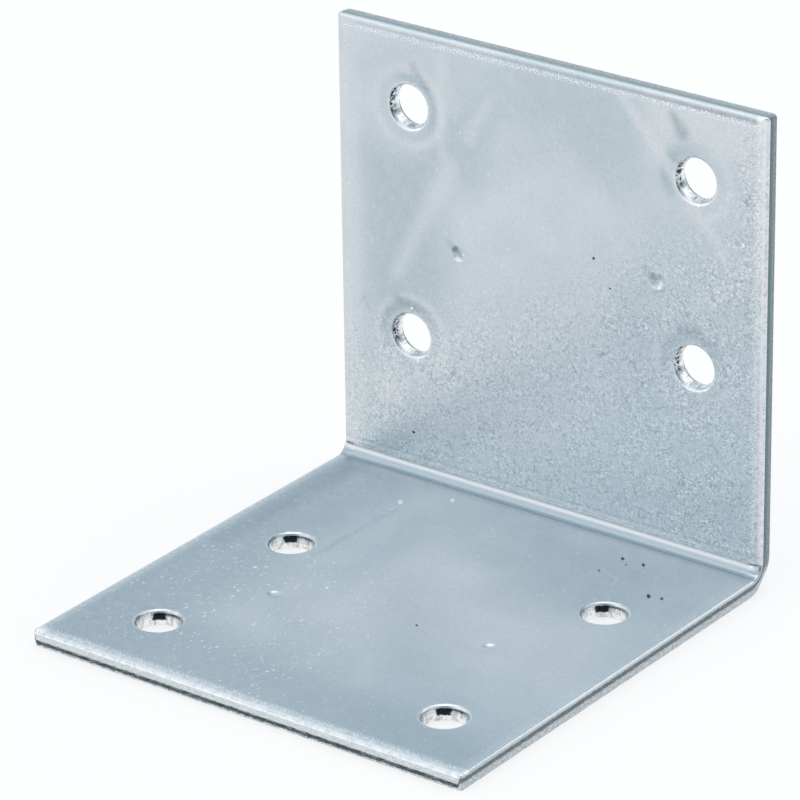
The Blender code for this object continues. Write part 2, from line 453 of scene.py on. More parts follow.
class FaceNet:
    """A grid over one face of the flat sheet, with rings round its holes and marks."""

    ROUNDING = 1e-6  # as a share of a cell
    ON_LINE = 1e-3  # as a share of a patch

    def __init__(
        self, x_stops: list[float], s_stops: list[float], cell: float, patches: list[Patch]
    ) -> None:
        """Lay the net.

        Args:
            x_stops: places across that need a line of points.
            s_stops: places along that need a line of points.
            cell: the longest side of a cell.
            patches: the rectangles that are meshed in rings. Their bounds are among the stops.
        """
        self.xs = self._filled(x_stops, cell)
        self.ss = self._filled(s_stops, cell)
        self.places: list[Place] = []
        self.faces: list[tuple[int, ...]] = []
        self.rims: list[list[int]] = []
        self._lay(patches)

    def _filled(self, stops: list[float], cell: float) -> list[float]:
        """Add lines between stops.

        Args:
            stops: the lines that must be there.
            cell: the greatest distance between lines.

        Returns:
            All the lines in order.
        """
        ordered = sorted(set(round(stop, 4) for stop in stops))
        lines = [ordered[0]]
        for low, high in zip(ordered, ordered[1:]):
            parts = max(1, math.ceil((high - low) / cell - self.ROUNDING))
            lines += [low + (high - low) * step / parts for step in range(1, parts + 1)]
        return lines

    def _nearest(self, lines: list[float], value: float) -> int:
        """The number of the line at a value."""
        return int(np.argmin(np.abs(np.array(lines) - value)))

    def _lay(self, patches: list[Patch]) -> None:
        """Make the places and faces of the whole net.

        Args:
            patches: the rectangles that are meshed in rings.
        """
        spans = []
        for patch in patches:
            corners = (patch.low, patch.high)
            spans.append([self._nearest(lines, value) for corner in corners
                          for lines, value in zip((self.xs, self.ss), corner)])
        number = {}
        for j, s in enumerate(self.ss):
            for i, x in enumerate(self.xs):
                if any(i0 < i < i1 and j0 < j < j1 for i0, j0, i1, j1 in spans):
                    continue
                number[i, j] = len(self.places)
                self.places.append((x, s))
        for j in range(len(self.ss) - 1):
            for i in range(len(self.xs) - 1):
                if any(i0 <= i < i1 and j0 <= j < j1 for i0, j0, i1, j1 in spans):
                    continue
                corners = ((i, j), (i + 1, j), (i + 1, j + 1), (i, j + 1))
                self.faces.append(tuple(number[corner] for corner in corners))
        self.border = self._loop(number, 0, 0, len(self.xs) - 1, len(self.ss) - 1)
        for patch, span in zip(patches, spans):
            self._ring(patch, self._loop(number, *span))

    @staticmethod
    def _loop(
        number: dict[tuple[int, int], int], i0: int, j0: int, i1: int, j1: int
    ) -> list[int]:
        """Walk round a rectangle of the grid, anticlockwise from its lowest corner.

        Args:
            number: the number of the point at each crossing of lines.
            i0: the rectangle's first line across.
            j0: its first line along.
            i1: its last line across.
            j1: its last line along.

        Returns:
            The numbers of its points, the last one beside the first.
        """
        loop = [number[i, j0] for i in range(i0, i1)]
        loop += [number[i1, j] for j in range(j0, j1)]
        loop += [number[i, j1] for i in range(i1, i0, -1)]
        loop += [number[i0, j] for j in range(j1, j0, -1)]
        return loop

    def _ring(self, patch: Patch, outer: list[int]) -> None:
        """Mesh one patch in rings.

        Args:
            patch: the rectangle and its circle.
            outer: the points round the rectangle.
        """
        corners = np.array([self.places[point] for point in outer])
        low, high = np.array(patch.low), np.array(patch.high)
        across, along = ((corners - low) / (high - low)).T
        quarter = np.select(
            [along < self.ON_LINE, across > 1 - self.ON_LINE, along > 1 - self.ON_LINE],
            [across, 1 + along, 3 - across],
            default=4 - along,
        )
        angle = np.radians(quarter * 90.0 - 135.0)
        circle = np.stack([np.cos(angle), np.sin(angle)], axis=1)
        centre = np.array(patch.centre)
        first = centre + patch.radii[0] * circle
        rows = [corners + (first - corners) * (step / patch.blends)
                for step in range(1, patch.blends)]
        rows += [centre + radius * circle for radius in patch.radii]
        previous = outer
        for row in rows:
            current = list(range(len(self.places), len(self.places) + len(row)))
            self.places += [tuple(point) for point in row]
            self._join(previous, current)
            previous = current
        if patch.closed:
            middle = len(self.places)
            self.places.append(tuple(patch.centre))
            count = len(previous)
            self.faces += [(previous[k], previous[(k + 1) % count], middle) for k in range(count)]
        else:
            self.rims.append(previous)

    def _join(self, outer: list[int], inner: list[int]) -> None:
        """Add a strip of faces between two loops of points.

        Args:
            outer: the outer loop.
            inner: the inner loop, of as many points.
        """
        count = len(outer)
        for k in range(count):
            after = (k + 1) % count
            self.faces.append((outer[k], outer[after], inner[after], inner[k]))


class Wander:
    """Smooth random change over the sheet, as a sum of slow waves."""

    def __init__(self, seed: int, longest: float, shortest: float, waves: int = 24) -> None:
        """Choose the waves.

        Args:
            seed: which of the possible sets of waves is used.
            longest: the greatest wavelength.
            shortest: the least wavelength.
            waves: how many waves there are.
        """
        dice = np.random.default_rng(seed)
        length = np.exp(dice.uniform(math.log(shortest), math.log(longest), waves))
        heading = dice.uniform(0.0, 2 * math.pi, waves)
        self.pull_x = np.cos(heading) * 2 * math.pi / length
        self.pull_s = np.sin(heading) * 2 * math.pi / length
        self.phase = dice.uniform(0.0, 2 * math.pi, waves)
        self.size = length / length.max()

    def at(self, x: Array, s: Array) -> Array:
        """Work out the change at places of the sheet.

        Args:
            x: places across.
            s: places along.

        Returns:
            Values between about -1 and 1.
        """
        total = np.zeros_like(x)
        for pull_x, pull_s, phase, size in zip(self.pull_x, self.pull_s, self.phase, self.size):
            total += size * np.sin(pull_x * x + pull_s * s + phase)
        return total / math.sqrt(np.sum(self.size**2) * 2.0)


@dataclass(frozen=True)
class Smear:
    """A long band of tone on the inner face: a line of places with a half width at each. Most are
    marks in the coat; some are painted shade and painted highlight.
    """

    leg: Leg
    tone: Tone
    line: tuple[Place, ...]
    halves: tuple[float, ...]
    soft: float = 0.6
    strength: float = 1.0

    def cover(self, x: Array, row: Array) -> Array:
        """How strongly the smear covers each place.

        Args:
            x: places across.
            row: distances from the corner on the smear's leg.

        Returns:
            Values from 0 to the smear's strength.
        """
        best = np.full_like(x, -FAR)
        ends = zip(self.line, self.line[1:], self.halves, self.halves[1:])
        for start, end, start_half, end_half in ends:
            share, away = from_line(x, row, start, end)
            best = np.maximum(best, start_half + (end_half - start_half) * share - away)
        return self.strength * smooth_step(best, -self.soft, self.soft)


@dataclass(frozen=True)
class Halo:
    """A ring round a hole, stronger on one side of it: painted reflection and painted shade of the
    dished sheet there.
    """

    leg: Leg
    tone: Tone
    x: float
    row: float
    radius: float
    strength: float
    towards: Pair
    even: float = 0.2
    half: float = 0.45
    soft: float = 0.45

    def cover(self, x: Array, row: Array) -> Array:
        """How strongly the halo covers each place.

        Args:
            x: places across.
            row: distances from the corner on the halo's leg.

        Returns:
            Values from 0 to the halo's strength.
        """
        dx, dr = x - self.x, row - self.row
        away = np.maximum(np.hypot(dx, dr), 1e-6)
        side = (dx * self.towards[0] + dr * self.towards[1]) / (away * math.hypot(*self.towards))
        share = self.even + (1.0 - self.even) * smooth_step(side, -0.1, 0.8)
        ring = smooth_step(self.half - np.abs(away - self.radius), -self.soft, self.soft)
        return self.strength * share * ring


@dataclass(frozen=True)
class Field:
    """An area of tone on the inner face bounded by straight lines, with a soft border. One, at the
    wall's upper right, is a painted highlight.
    """

    leg: Leg
    tone: Tone
    outline: tuple[Place, ...]
    soft: float = 1.5
    strength: float = 1.0

    def cover(self, x: Array, row: Array) -> Array:
        """How strongly the field covers each place.

        Args:
            x: places across.
            row: distances from the corner on the field's leg.

        Returns:
            Values from 0 to the field's strength.
        """
        inside = np.zeros(x.shape, bool)
        nearest = np.full_like(x, FAR)
        for start, end in zip(self.outline, self.outline[1:] + self.outline[:1]):
            (x0, r0), (x1, r1) = start, end
            crosses = (r0 > row) != (r1 > row)
            if r0 != r1:
                inside ^= crosses & (x < x0 + (row - r0) * (x1 - x0) / (r1 - r0))
            nearest = np.minimum(nearest, from_line(x, row, start, end)[1])
        signed = np.where(inside, nearest, -nearest)
        return self.strength * smooth_step(signed, -self.soft, self.soft)


@dataclass(frozen=True)
class WearAndPaintedLight:
    """The tones of the inner face: what handling, stacking and storing have left there, and painted
    highlight, reflection and shade.

    Places are across and from the corner. A mark shows only where its leg is flat.
    """

    flat_from: Pair = (1.5, 3.0)
    smears: tuple[Smear, ...] = (
        Smear(Leg.WALL, Tone.RUBBED_AND_HIGHLIGHT, ((-13.9, 42.4), (-21.8, 27.3)), (1.4, 0.7), 1.1, 0.6),
        Smear(Leg.WALL, Tone.RUBBED_AND_HIGHLIGHT, ((-8.0, 52.4), (-10.9, 47.1)), (0.3, 1.0), 0.9, 0.55),
        Smear(Leg.WALL, Tone.RUBBED_AND_HIGHLIGHT, ((-14.9, 55.5), (-14.9, 43.9)), (0.8, 0.5), 0.8, 0.5),
        Smear(Leg.WALL, Tone.RUBBED_AND_HIGHLIGHT,
              ((10.3, 57.1), (16.7, 50.0), (19.5, 46.3), (25.0, 40.3)),
              (0.6, 0.8, 0.8, 0.5), 0.5, 0.8),
        Smear(Leg.WALL, Tone.RUBBED_AND_HIGHLIGHT, ((26.3, 36.7), (16.5, 31.4)), (1.1, 0.7), 0.7, 0.7),
        Smear(Leg.WALL, Tone.RUBBED_AND_HIGHLIGHT, ((-23.7, 12.1), (-21.8, 12.1)), (1.6, 1.6), 0.9, 0.8),
        Smear(Leg.WALL, Tone.RUBBED_AND_HIGHLIGHT, ((-28.2, 56.4), (-28.2, 3.4)), (1.2, 1.2), 0.7, 0.4),
        Smear(Leg.WALL, Tone.DARK, ((-21.8, 24.2), (-18.8, 23.3)), (0.5, 0.3), 0.6, 0.7),
        # The next two dark smears are painted shade in the pits of the wall's punch marks.
        Smear(Leg.WALL, Tone.DARK, ((-13.2, 32.6), (-12.4, 31.6)), (0.45, 0.35), 0.35, 0.9),
        Smear(Leg.WALL, Tone.DARK, ((14.6, 36.2), (15.2, 34.9)), (0.40, 0.30), 0.35, 0.8),
        Smear(Leg.WALL, Tone.DARK, ((18.3, 30.6), (21.0, 30.4)), (0.4, 0.5), 0.6, 0.6),
        Smear(Leg.WALL, Tone.DARK, ((18.6, 54.3), (17.2, 56.4)), (0.9, 0.3), 0.6, 0.7),
        Smear(Leg.WALL, Tone.DARK, ((-19.0, 54.1), (-17.1, 51.6)), (0.3, 0.3), 0.5, 0.7),
        Smear(Leg.BASE, Tone.RUBBED_AND_HIGHLIGHT, ((8.3, 49.3), (5.3, 44.2)), (1.4, 1.0), 1.0, 0.5),
        Smear(Leg.BASE, Tone.DARK, ((-15.4, 26.9), (-15.0, 11.7)), (0.15, 0.15), 0.4, 0.5),
        Smear(Leg.BASE, Tone.DARK, ((-26.7, 30.0), (-26.7, 4.6)), (1.0, 1.6), 1.6, 0.5),
        # A lighter band on the base beside the fold: painted reflection of the wall.
        Smear(Leg.BASE, Tone.RUBBED_AND_HIGHLIGHT, ((-27.2, 3.8), (28.0, 3.8)), (0.6, 0.6), 0.6, 1.0),
        # Darker along the top of the wall: painted shade on its drawn-over edge.
        Smear(Leg.WALL, Tone.DARK,
              ((-27.0, 57.8), (6.0, 57.8), (28.4, 57.75)), (0.05, 0.14, 0.30), 0.22, 0.9),
    )
    # Rings round the wall's holes: painted reflection and painted shade of the dished sheet.
    halos: tuple[Halo, ...] = (
        Halo(Leg.WALL, Tone.COOL, -19.7, 48.9, 3.7, 0.9, (1.0, 0.8)),
        Halo(Leg.WALL, Tone.RUBBED_AND_HIGHLIGHT, -19.7, 48.9, 4.9, 0.8, (1.0, -0.2), 0.5),
        Halo(Leg.WALL, Tone.DARK, -19.7, 19.8, 4.0, 0.5, (-0.4, 1.0), 0.0),
        Halo(Leg.WALL, Tone.COOL, -19.7, 19.8, 3.8, 0.7, (-1.0, -0.3)),
        Halo(Leg.WALL, Tone.RUBBED_AND_HIGHLIGHT, -19.7, 19.8, 5.0, 0.9, (1.0, 0.0), 0.6),
        Halo(Leg.WALL, Tone.COOL, 20.5, 48.9, 3.9, 1.0, (-1.0, 0.8), 0.1, 0.9),
        Halo(Leg.WALL, Tone.RUBBED_AND_HIGHLIGHT, 20.5, 48.9, 4.6, 0.7, (1.0, -0.5), 0.2),
        Halo(Leg.WALL, Tone.DARK, 20.5, 25.9, 4.0, 0.4, (-0.3, 1.0), 0.1),
        Halo(Leg.WALL, Tone.RUBBED_AND_HIGHLIGHT, 20.5, 25.9, 5.2, 0.9, (-1.0, 0.6), 0.4),
    )
    fields: tuple[Field, ...] = (
        Field(Leg.WALL, Tone.RUBBED_AND_HIGHLIGHT,
              ((-12.4, 16.9), (-12.9, 36.2), (-4.5, 44.9), (3.4, 48.7), (10.3, 42.0), (12.2, 37.1),
               (8.3, 29.4), (2.4, 21.7), (-4.5, 17.9)), 1.6, 0.28),
        Field(Leg.WALL, Tone.RUBBED_AND_HIGHLIGHT,
              ((-20.0, 4.0), (-17.0, 16.0), (-6.0, 24.0), (8.0, 31.0), (12.0, 22.0), (0.0, 8.0)),
              4.0, 0.9),
        # The wall's upper right is lighter: painted highlight.
        Field(Leg.WALL, Tone.RUBBED_AND_HIGHLIGHT,
              ((14.5, 53.0), (13.7, 58.5), (30.0, 58.5), (30.0, 51.0)), 2.2, 0.8),
        Field(Leg.WALL, Tone.COOL,
              ((-19.0, 48.5), (-8.0, 49.5), (-9.5, 40.5), (-16.5, 40.5)), 2.6, 0.55),
        Field(Leg.WALL, Tone.COOL,
              ((-3.0, 58.5), (13.0, 58.5), (13.0, 45.0), (-4.0, 44.0)), 2.5, 0.30),
        Field(Leg.WALL, Tone.COOL,
              ((-12.4, 48.7), (-12.4, 56.9), (13.2, 56.9), (12.2, 48.7), (3.4, 50.6)), 2.0, 0.25),
        Field(Leg.WALL, Tone.COOL,
              ((-26.2, 15.9), (-26.2, 42.9), (-16.4, 42.9), (-14.4, 17.9)), 3.0, 0.68),
        Field(Leg.WALL, Tone.GRAINED,
              ((-32.0, 0.0), (-28.0, 18.0), (-10.0, 24.5), (4.3, 30.8), (14.2, 38.4), (32.0, 46.2),
               (32.0, 0.0)), 6.0, 0.8),
        Field(Leg.WALL, Tone.GRAINED,
              ((25.0, 34.0), (26.5, 56.5), (32.0, 56.5), (32.0, 34.0)), 2.0, 0.8),
        Field(Leg.WALL, Tone.GRAINED,
              ((16.0, 0.0), (18.0, 14.0), (24.0, 34.0), (32.0, 50.0), (32.0, 0.0)), 5.0, 1.0),
        Field(Leg.BASE, Tone.RUBBED_AND_HIGHLIGHT,
              ((4.3, 27.1), (4.8, 40.1), (19.1, 40.1), (20.1, 30.0), (17.2, 26.9)), 1.2, 0.6),
        Field(Leg.BASE, Tone.RUBBED_AND_HIGHLIGHT,
              ((-6.5, 18.8), (-7.5, 40.0), (4.3, 40.0), (5.3, 18.8)), 3.0, 0.9),
        Field(Leg.BASE, Tone.RUBBED_AND_HIGHLIGHT,
              ((3.0, 22.0), (-3.0, 44.0), (18.0, 47.0), (28.0, 40.0), (28.0, 22.0)), 5.0, 0.45),
        Field(Leg.BASE, Tone.COOL,
              ((-32.0, 0.0), (-32.0, 62.0), (-17.0, 62.0), (-17.0, 38.1), (-18.0, 0.0)), 5.0, 0.75),
        Field(Leg.BASE, Tone.COOL,
              ((-32.0, 46.0), (-32.0, 62.0), (32.0, 62.0), (32.0, 53.0), (0.0, 50.0)), 4.0, 0.65),
        Field(Leg.BASE, Tone.COOL,
              ((-32.0, 5.0), (-32.0, 62.0), (-25.5, 62.0), (-25.0, 5.0)), 2.5, 0.6),
        Field(Leg.BASE, Tone.COOL,
              ((-12.0, 5.0), (-12.0, 14.0), (14.0, 19.0), (28.0, 19.0), (28.0, 8.0)), 3.0, 0.22),
        Field(Leg.BASE, Tone.FLECKED,
              ((-30.0, 24.0), (-30.0, 60.5), (6.0, 60.5), (4.0, 44.0), (-6.0, 26.0)), 5.0, 1.0),
        Field(Leg.BASE, Tone.FLECKED,
              ((-30.0, 3.0), (-30.0, 60.5), (30.0, 60.5), (30.0, 3.0)), 2.0, 0.35),
        Field(Leg.WALL, Tone.FLECKED,
              ((-30.0, 3.0), (-30.0, 58.5), (30.0, 58.5), (30.0, 3.0)), 2.0, 0.25),
        Field(Leg.BASE, Tone.COOL, ((3.4, 7.6), (3.4, 25.9), (18.1, 25.9), (20.1, 7.6)), 3.0, 0.3),
    )

    def masks(self, form: SheetForm, x: Array, s: Array) -> dict[Tone, Array]:
        """Work out the strength of every tone.

        Args:
            form: the sheet.
            x: places across.
            s: places along the blank.

        Returns:
            For each tone its strength at each place, from 0 to 1.
        """
        on_wall, on_base = form.from_corner(s)
        rows = {Leg.WALL: on_wall, Leg.BASE: on_base}
        clear = {tone: np.ones_like(x) for tone in Tone}
        for shape in self.smears + self.halos + self.fields:
            row = rows[shape.leg]
            on_leg = smooth_step(row, *self.flat_from)
            clear[shape.tone] *= 1.0 - shape.cover(x, row) * on_leg
        return {tone: 1.0 - left for tone, left in clear.items()}


class NodeBench:
    """Lays nodes on one tree and joins them."""

    def __init__(self, tree: bpy.types.NodeTree) -> None:
        """Take a tree and clear it."""
        self.tree = tree
        tree.nodes.clear()

    def place(self, kind: str, **settings: object) -> bpy.types.Node:
        """Add one node.

        Args:
            kind: the node's type name.
            settings: properties to set on it.

        Returns:
            The node.
        """
        node = self.tree.nodes.new(kind)
        for name, value in settings.items():
            setattr(node, name, value)
        return node

    def feed(self, socket: Socket, value: object) -> None:
        """Join a socket to another, or set its value.

        Args:
            socket: the input.
            value: an output to join it to, or the value to set.
        """
        if isinstance(value, bpy.types.NodeSocket):
            self.tree.links.new(value, socket)
        elif isinstance(value, tuple) and socket.type == "RGBA":
            socket.default_value = (*value, 1.0)
        else:
            socket.default_value = value

    def fill(self, node: bpy.types.Node, values: tuple[object, ...]) -> None:
        """Feed a node's first inputs in their order."""
        for socket, value in zip(node.inputs, values):
            self.feed(socket, value)

    def calc(self, operation: str, *values: object, clamp: bool = False) -> Socket:
        """Do arithmetic on values or sockets.

        Args:
            operation: the name of the operation.
            values: its operands.
            clamp: whether the result is kept between 0 and 1.

        Returns:
            The socket with the result.
        """
        node = self.place("ShaderNodeMath", operation=operation, use_clamp=clamp)
        self.fill(node, values)
        return node.outputs[0]

    def times(self, *factors: object) -> Socket:
        """Multiply values or sockets, one after the other.

        Args:
            factors: two or more of them.

        Returns:
            The socket with the product.
        """
        product, *rest = factors
        for factor in rest:
            product = self.calc("MULTIPLY", product, factor)
        return product

    def plus(self, first: object, second: object) -> Socket:
        """Add two values or sockets."""
        return self.calc("ADD", first, second)

    def weigh(self, first: Socket, share: float, second: Socket, second_share: float) -> Socket:
        """Add a share of one pattern to a share of another."""
        return self.plus(self.times(first, share), self.times(second, second_share))

    def swing(self, pattern: Socket, amount: float) -> Socket:
        """Turn a pattern that lies round 0.5 into one that swings round 0."""
        return self.times(self.calc("SUBTRACT", pattern, 0.5), amount)

    def distance(self, first: Socket, second: object) -> Socket:
        """Find how far apart two values are."""
        return self.calc("ABSOLUTE", self.calc("SUBTRACT", first, second))

    def vector(self, operation: str, *values: object) -> Socket:
        """Do vector arithmetic that gives a vector.

        Args:
            operation: the name of the operation.
            values: its operands.

        Returns:
            The socket with the result.
        """
        node = self.place("ShaderNodeVectorMath", operation=operation)
        self.fill(node, values)
        return node.outputs[0]

    def measure(self, operation: str, *values: object) -> Socket:
        """Do vector arithmetic that gives a plain value, such as a length or a dot product."""
        return self.vector(operation, *values).node.outputs["Value"]

    def scaled(self, vector: object, factor: object) -> Socket:
        """Scale a vector or a colour.

        Args:
            vector: what is scaled.
            factor: by how much.

        Returns:
            The socket with the result.
        """
        result = self.vector("SCALE", vector)
        self.feed(result.node.inputs["Scale"], factor)
        return result

    def parts(self, vector: Socket) -> tuple[Socket, ...]:
        """Split a vector.

        Args:
            vector: what is split.

        Returns:
            The sockets with its three values.
        """
        node = self.place("ShaderNodeSeparateXYZ")
        self.fill(node, (vector,))
        return tuple(node.outputs)

    def ease(
        self, value: Socket, low: float, high: float, start: float = 0.0, end: float = 1.0
    ) -> Socket:
        """Ease a value from one level to another.

        Args:
            value: what is eased.
            low: where the result is start.
            high: where the result is end.
            start: the result at low.
            end: the result at high.

        Returns:
            The socket with the result.
        """
        node = self.place("ShaderNodeMapRange", interpolation_type="SMOOTHSTEP")
        self.fill(node, (value, low, high, start, end))
        return node.outputs["Result"]

    def near(self, value: Socket, middle: float, half: float, soft: float) -> Socket:
        """Find where a value lies close to another.

        Args:
            value: what is looked at.
            middle: the value that it should be close to.
            half: how far off it may be.
            soft: how wide the soft border is on each side of that.

        Returns:
            The socket with 1 close to the middle and 0 away from it.
        """
        return self.ease(self.distance(value, middle), half + soft, max(half - soft, 0.0))

    def blend(self, factor: object, first: object, second: object) -> Socket:
        """Mix two colours.

        Args:
            factor: how much of the second shows.
            first: the first colour.
            second: the second colour.

        Returns:
            The socket with the colour.
        """
        node = self.place("ShaderNodeMix", data_type="RGBA", blend_type="MIX")
        for number, value in ((0, factor), (6, first), (7, second)):
            self.feed(node.inputs[number], value)
        return node.outputs[2]

    def blend_shaders(self, factor: object, first: Socket, second: Socket) -> Socket:
        """Mix two shaders.

        Args:
            factor: how much of the second shows.
            first: the first shader.
            second: the second shader.

        Returns:
            The socket with the shader.
        """
        node = self.place("ShaderNodeMixShader")
        self.fill(node, (factor, first, second))
        return node.outputs[0]

    def noise(
        self, vector: Socket, size: float, detail: float = 2.0, rough: float = 0.5,
        warp: float = 0.0
    ) -> Socket:
        """Make a cloudy pattern.

        Args:
            vector: the place.
            size: about how large a cloud is, in the units of the place.
            detail: how many finer layers it has.
            rough: how strong the finer layers are.
            warp: how much it is pulled about.

        Returns:
            The socket with a value round 0.5.
        """
        node = self.place("ShaderNodeTexNoise")
        for name, value in (("Vector", vector), ("Scale", 1.0 / size), ("Detail", detail),
                            ("Roughness", rough), ("Distortion", warp)):
            self.feed(node.inputs[name], value)
        return node.outputs["Fac"]

    def value(self, name: str) -> Socket:
        """Read one of the values stored on the mesh."""
        return self.place("ShaderNodeAttribute", attribute_name=name).outputs["Fac"]

    def stored(self, name: str) -> Socket:
        """Read one of the vectors stored on the mesh."""
        return self.place("ShaderNodeAttribute", attribute_name=name).outputs["Vector"]

    def metal(self, colour: object, roughness: object, height: object, relief: float) -> None:
        """Finish the tree with a metal surface.

        Args:
            colour: its colour.
            roughness: its roughness.
            height: the pattern of its fine relief.
            relief: the depth of that pattern, in millimetres.
        """
        bump = self.place("ShaderNodeBump")
        self.feed(bump.inputs["Distance"], relief * MM)
        self.feed(bump.inputs["Height"], height)
        shader = self.place("ShaderNodeBsdfPrincipled")
        for name, value in (("Metallic", 1.0), ("Base Color", colour), ("Roughness", roughness),
                            ("Normal", bump.outputs["Normal"])):
            self.feed(shader.inputs[name], value)
        self.finish("ShaderNodeOutputMaterial", shader.outputs["BSDF"])

    def finish(self, kind: str, shader: Socket) -> None:
        """Join a shader to the tree's output."""
        self.feed(self.place(kind).inputs["Surface"], shader)


def new_finish(name: str) -> tuple[bpy.types.Material, NodeBench]:
    """Start a material with an empty tree.

    Args:
        name: the material's name.

    Returns:
        The material, and a bench for its tree.
    """
    material = bpy.data.materials.new(name)
    material.use_nodes = True
    return material, NodeBench(material.node_tree)


@dataclass(frozen=True)
class Speck:
    """A small dark or bright spot, with its place on the leg and its radius. Most are spots of the
    coat; two are painted highlights on punch marks.
    """

    leg: Leg
    x: float
    row: float
    radius: float
    bright: bool = False


@dataclass(frozen=True)
class Scratch:
    """A thin pale or dark scratch from one place on a leg to another, with its half width."""

    leg: Leg
    start: Place
    end: Place
    half: float
    bright: bool = True


@dataclass(frozen=True)
class SkinPatterns:
    """What the layers of the zinc skin share: coordinates, patterns and masks."""

    flat: Socket
    grain: Socket
    fine: Socket
    grained: Socket
    inside: Socket


@dataclass(frozen=True)
class ZincSkin:
    """The zinc coat on the faces: pale, slightly blue, mottled, and grained where it has lost its
    gloss, with painted highlight, reflection and shade on edges, fold, rims and punch marks.
    """

    form: SheetForm
    colour: Colour = (0.600, 0.662, 0.700)
    # Lighter worn patches of the coat, and painted highlight beside the fold, round the wall's
    # holes and at its upper right.
    rubbed_and_highlight: Colour = (0.690, 0.722, 0.750)
    # Bluer tone of the coat, and painted shade in the lower fold and round the holes.
    cool: Colour = (0.400, 0.490, 0.545)
    grained: Colour = (0.600, 0.662, 0.698)
    # Dark grains, hair lines and marks, and painted shade beside the fold, along the wall's top,
    # round the holes and in the punch marks.
    dark: Colour = (0.300, 0.360, 0.400)
    # Dark lines of painted shade in the fold, and dark scratches.
    crease_shade_and_scratch: Colour = (0.140, 0.180, 0.200)
    # Pale flecks, grains, dots and scratches, and painted highlights on the edges, above the fold
    # and on the punch marks.
    bright: Colour = (0.900, 0.925, 0.950)
    burnished: Colour = (0.900, 0.905, 0.930)
    # Painted shade in the fold.
    folded: Colour = (0.470, 0.515, 0.555)
    # Dark specks of the coat, and painted dark reflection on the far rims of the wall's holes.
    spot: Colour = (0.040, 0.055, 0.065)
    roughness: float = 0.30
    worked_roughness: float = 0.05
    grained_roughness: float = 0.03
    fold_gloss: float = 2.4
    relief: float = 0.02
    grain_size: float = 0.38
    fine_size: float = 0.20
    inner_half: Pair = (1.4, 0.9)
    roll_reach: float = 1.20
    fold_ends: tuple[Pair, Pair] = ((28.2, 28.7), (29.9, 29.5))
    mark_unevenness: float = 0.25
    speck_run: tuple[float, float, float] = (-0.60, 0.80, 0.0)
    speck_stretch: float = 0.55
    specks: tuple[Speck, ...] = (
        Speck(Leg.WALL, 6.6, 36.1, 0.18),
        Speck(Leg.WALL, 8.9, 32.9, 0.14),
        Speck(Leg.WALL, -19.5, 7.2, 0.19),
        # The next two bright specks are painted highlights on the lit side of the wall's punch
        # marks.
        Speck(Leg.WALL, -12.0, 32.0, 0.14, True),
        Speck(Leg.WALL, 15.9, 35.2, 0.14, True),
        Speck(Leg.WALL, -18.4, 46.4, 0.20, True),
        Speck(Leg.WALL, -18.8, 16.7, 0.20, True),
        Speck(Leg.WALL, -19.6, 23.3, 0.18, True),
        Speck(Leg.WALL, 20.9, 46.0, 0.18, True),
        Speck(Leg.WALL, 27.0, 42.6, 0.22, True),
        Speck(Leg.BASE, 22.3, 13.5, 0.24),
        Speck(Leg.BASE, 23.9, 13.2, 0.16),
        Speck(Leg.BASE, 14.4, 7.2, 0.19),
        Speck(Leg.BASE, 17.3, 7.2, 0.19),
        Speck(Leg.BASE, 15.6, 8.3, 0.10),
        Speck(Leg.BASE, 13.9, 11.3, 0.12),
        Speck(Leg.BASE, 5.0, 34.7, 0.12),
        Speck(Leg.BASE, -15.8, 9.8, 0.28, True),
        Speck(Leg.BASE, -11.0, 5.9, 0.24, True),
    )
    scratches: tuple[Scratch, ...] = (
        Scratch(Leg.BASE, (14.0, 10.7), (16.8, 11.9), 0.10),
        Scratch(Leg.BASE, (16.8, 11.9), (17.3, 13.5), 0.12),
        Scratch(Leg.BASE, (-3.0, 9.2), (-1.2, 10.9), 0.10),
        Scratch(Leg.BASE, (-1.2, 10.9), (-2.8, 11.8), 0.12),
        Scratch(Leg.WALL, (-8.9, 16.8), (-4.5, 19.8), 0.07, False),
        Scratch(Leg.WALL, (-27.6, 21.5), (-26.6, 23.2), 0.09, False),
        Scratch(Leg.WALL, (-26.6, 23.2), (-25.9, 21.6), 0.09, False),
        Scratch(Leg.WALL, (22.4, 38.2), (23.8, 41.0), 0.10),
        Scratch(Leg.WALL, (23.8, 41.0), (25.4, 38.4), 0.10),
    )

    def make(self) -> bpy.types.Material:
        """Make the material.

        Returns:
            The material.
        """
        material, bench = new_finish("zinc_skin")
        flat = bench.stored("flat")
        skin = SkinPatterns(
            flat=flat,
            grain=bench.noise(flat, self.grain_size, 3.0, 0.7, 1.2),
            fine=bench.noise(flat, self.fine_size, 1.0),
            grained=bench.value(Tone.GRAINED.value),
            inside=bench.ease(bench.parts(flat)[2], *self.inner_half),
        )
        colour = self._tones(bench, skin)
        colour = self._grains(bench, skin, colour)
        colour = self._flecks(bench, skin, colour)
        colour = self._hairs(bench, skin, colour)
        ragged = bench.plus(bench.value("border"), bench.swing(skin.grain, 0.9))
        worked = self._worked(bench, ragged)
        in_fold = self._in_fold(bench, skin)
        colour = self._burnish(bench, skin, colour, worked, in_fold)
        colour = self._edges(bench, skin, colour, ragged)
        colour = self._fold_lines(bench, skin, colour)
        colour = self._specks(bench, skin, colour)
        colour = self._scratches(bench, skin, colour)
        smoother = bench.times(in_fold, self.fold_gloss)
        rougher = bench.times(bench.calc("SUBTRACT", worked, smoother), self.worked_roughness)
        roughness = bench.plus(self.roughness, rougher)
        roughness = bench.plus(roughness, bench.times(skin.grained, self.grained_roughness))
        height = bench.times(skin.grain, bench.plus(bench.times(skin.grained, 0.5), 0.1))
        bench.metal(colour, roughness, height, self.relief)
        return material

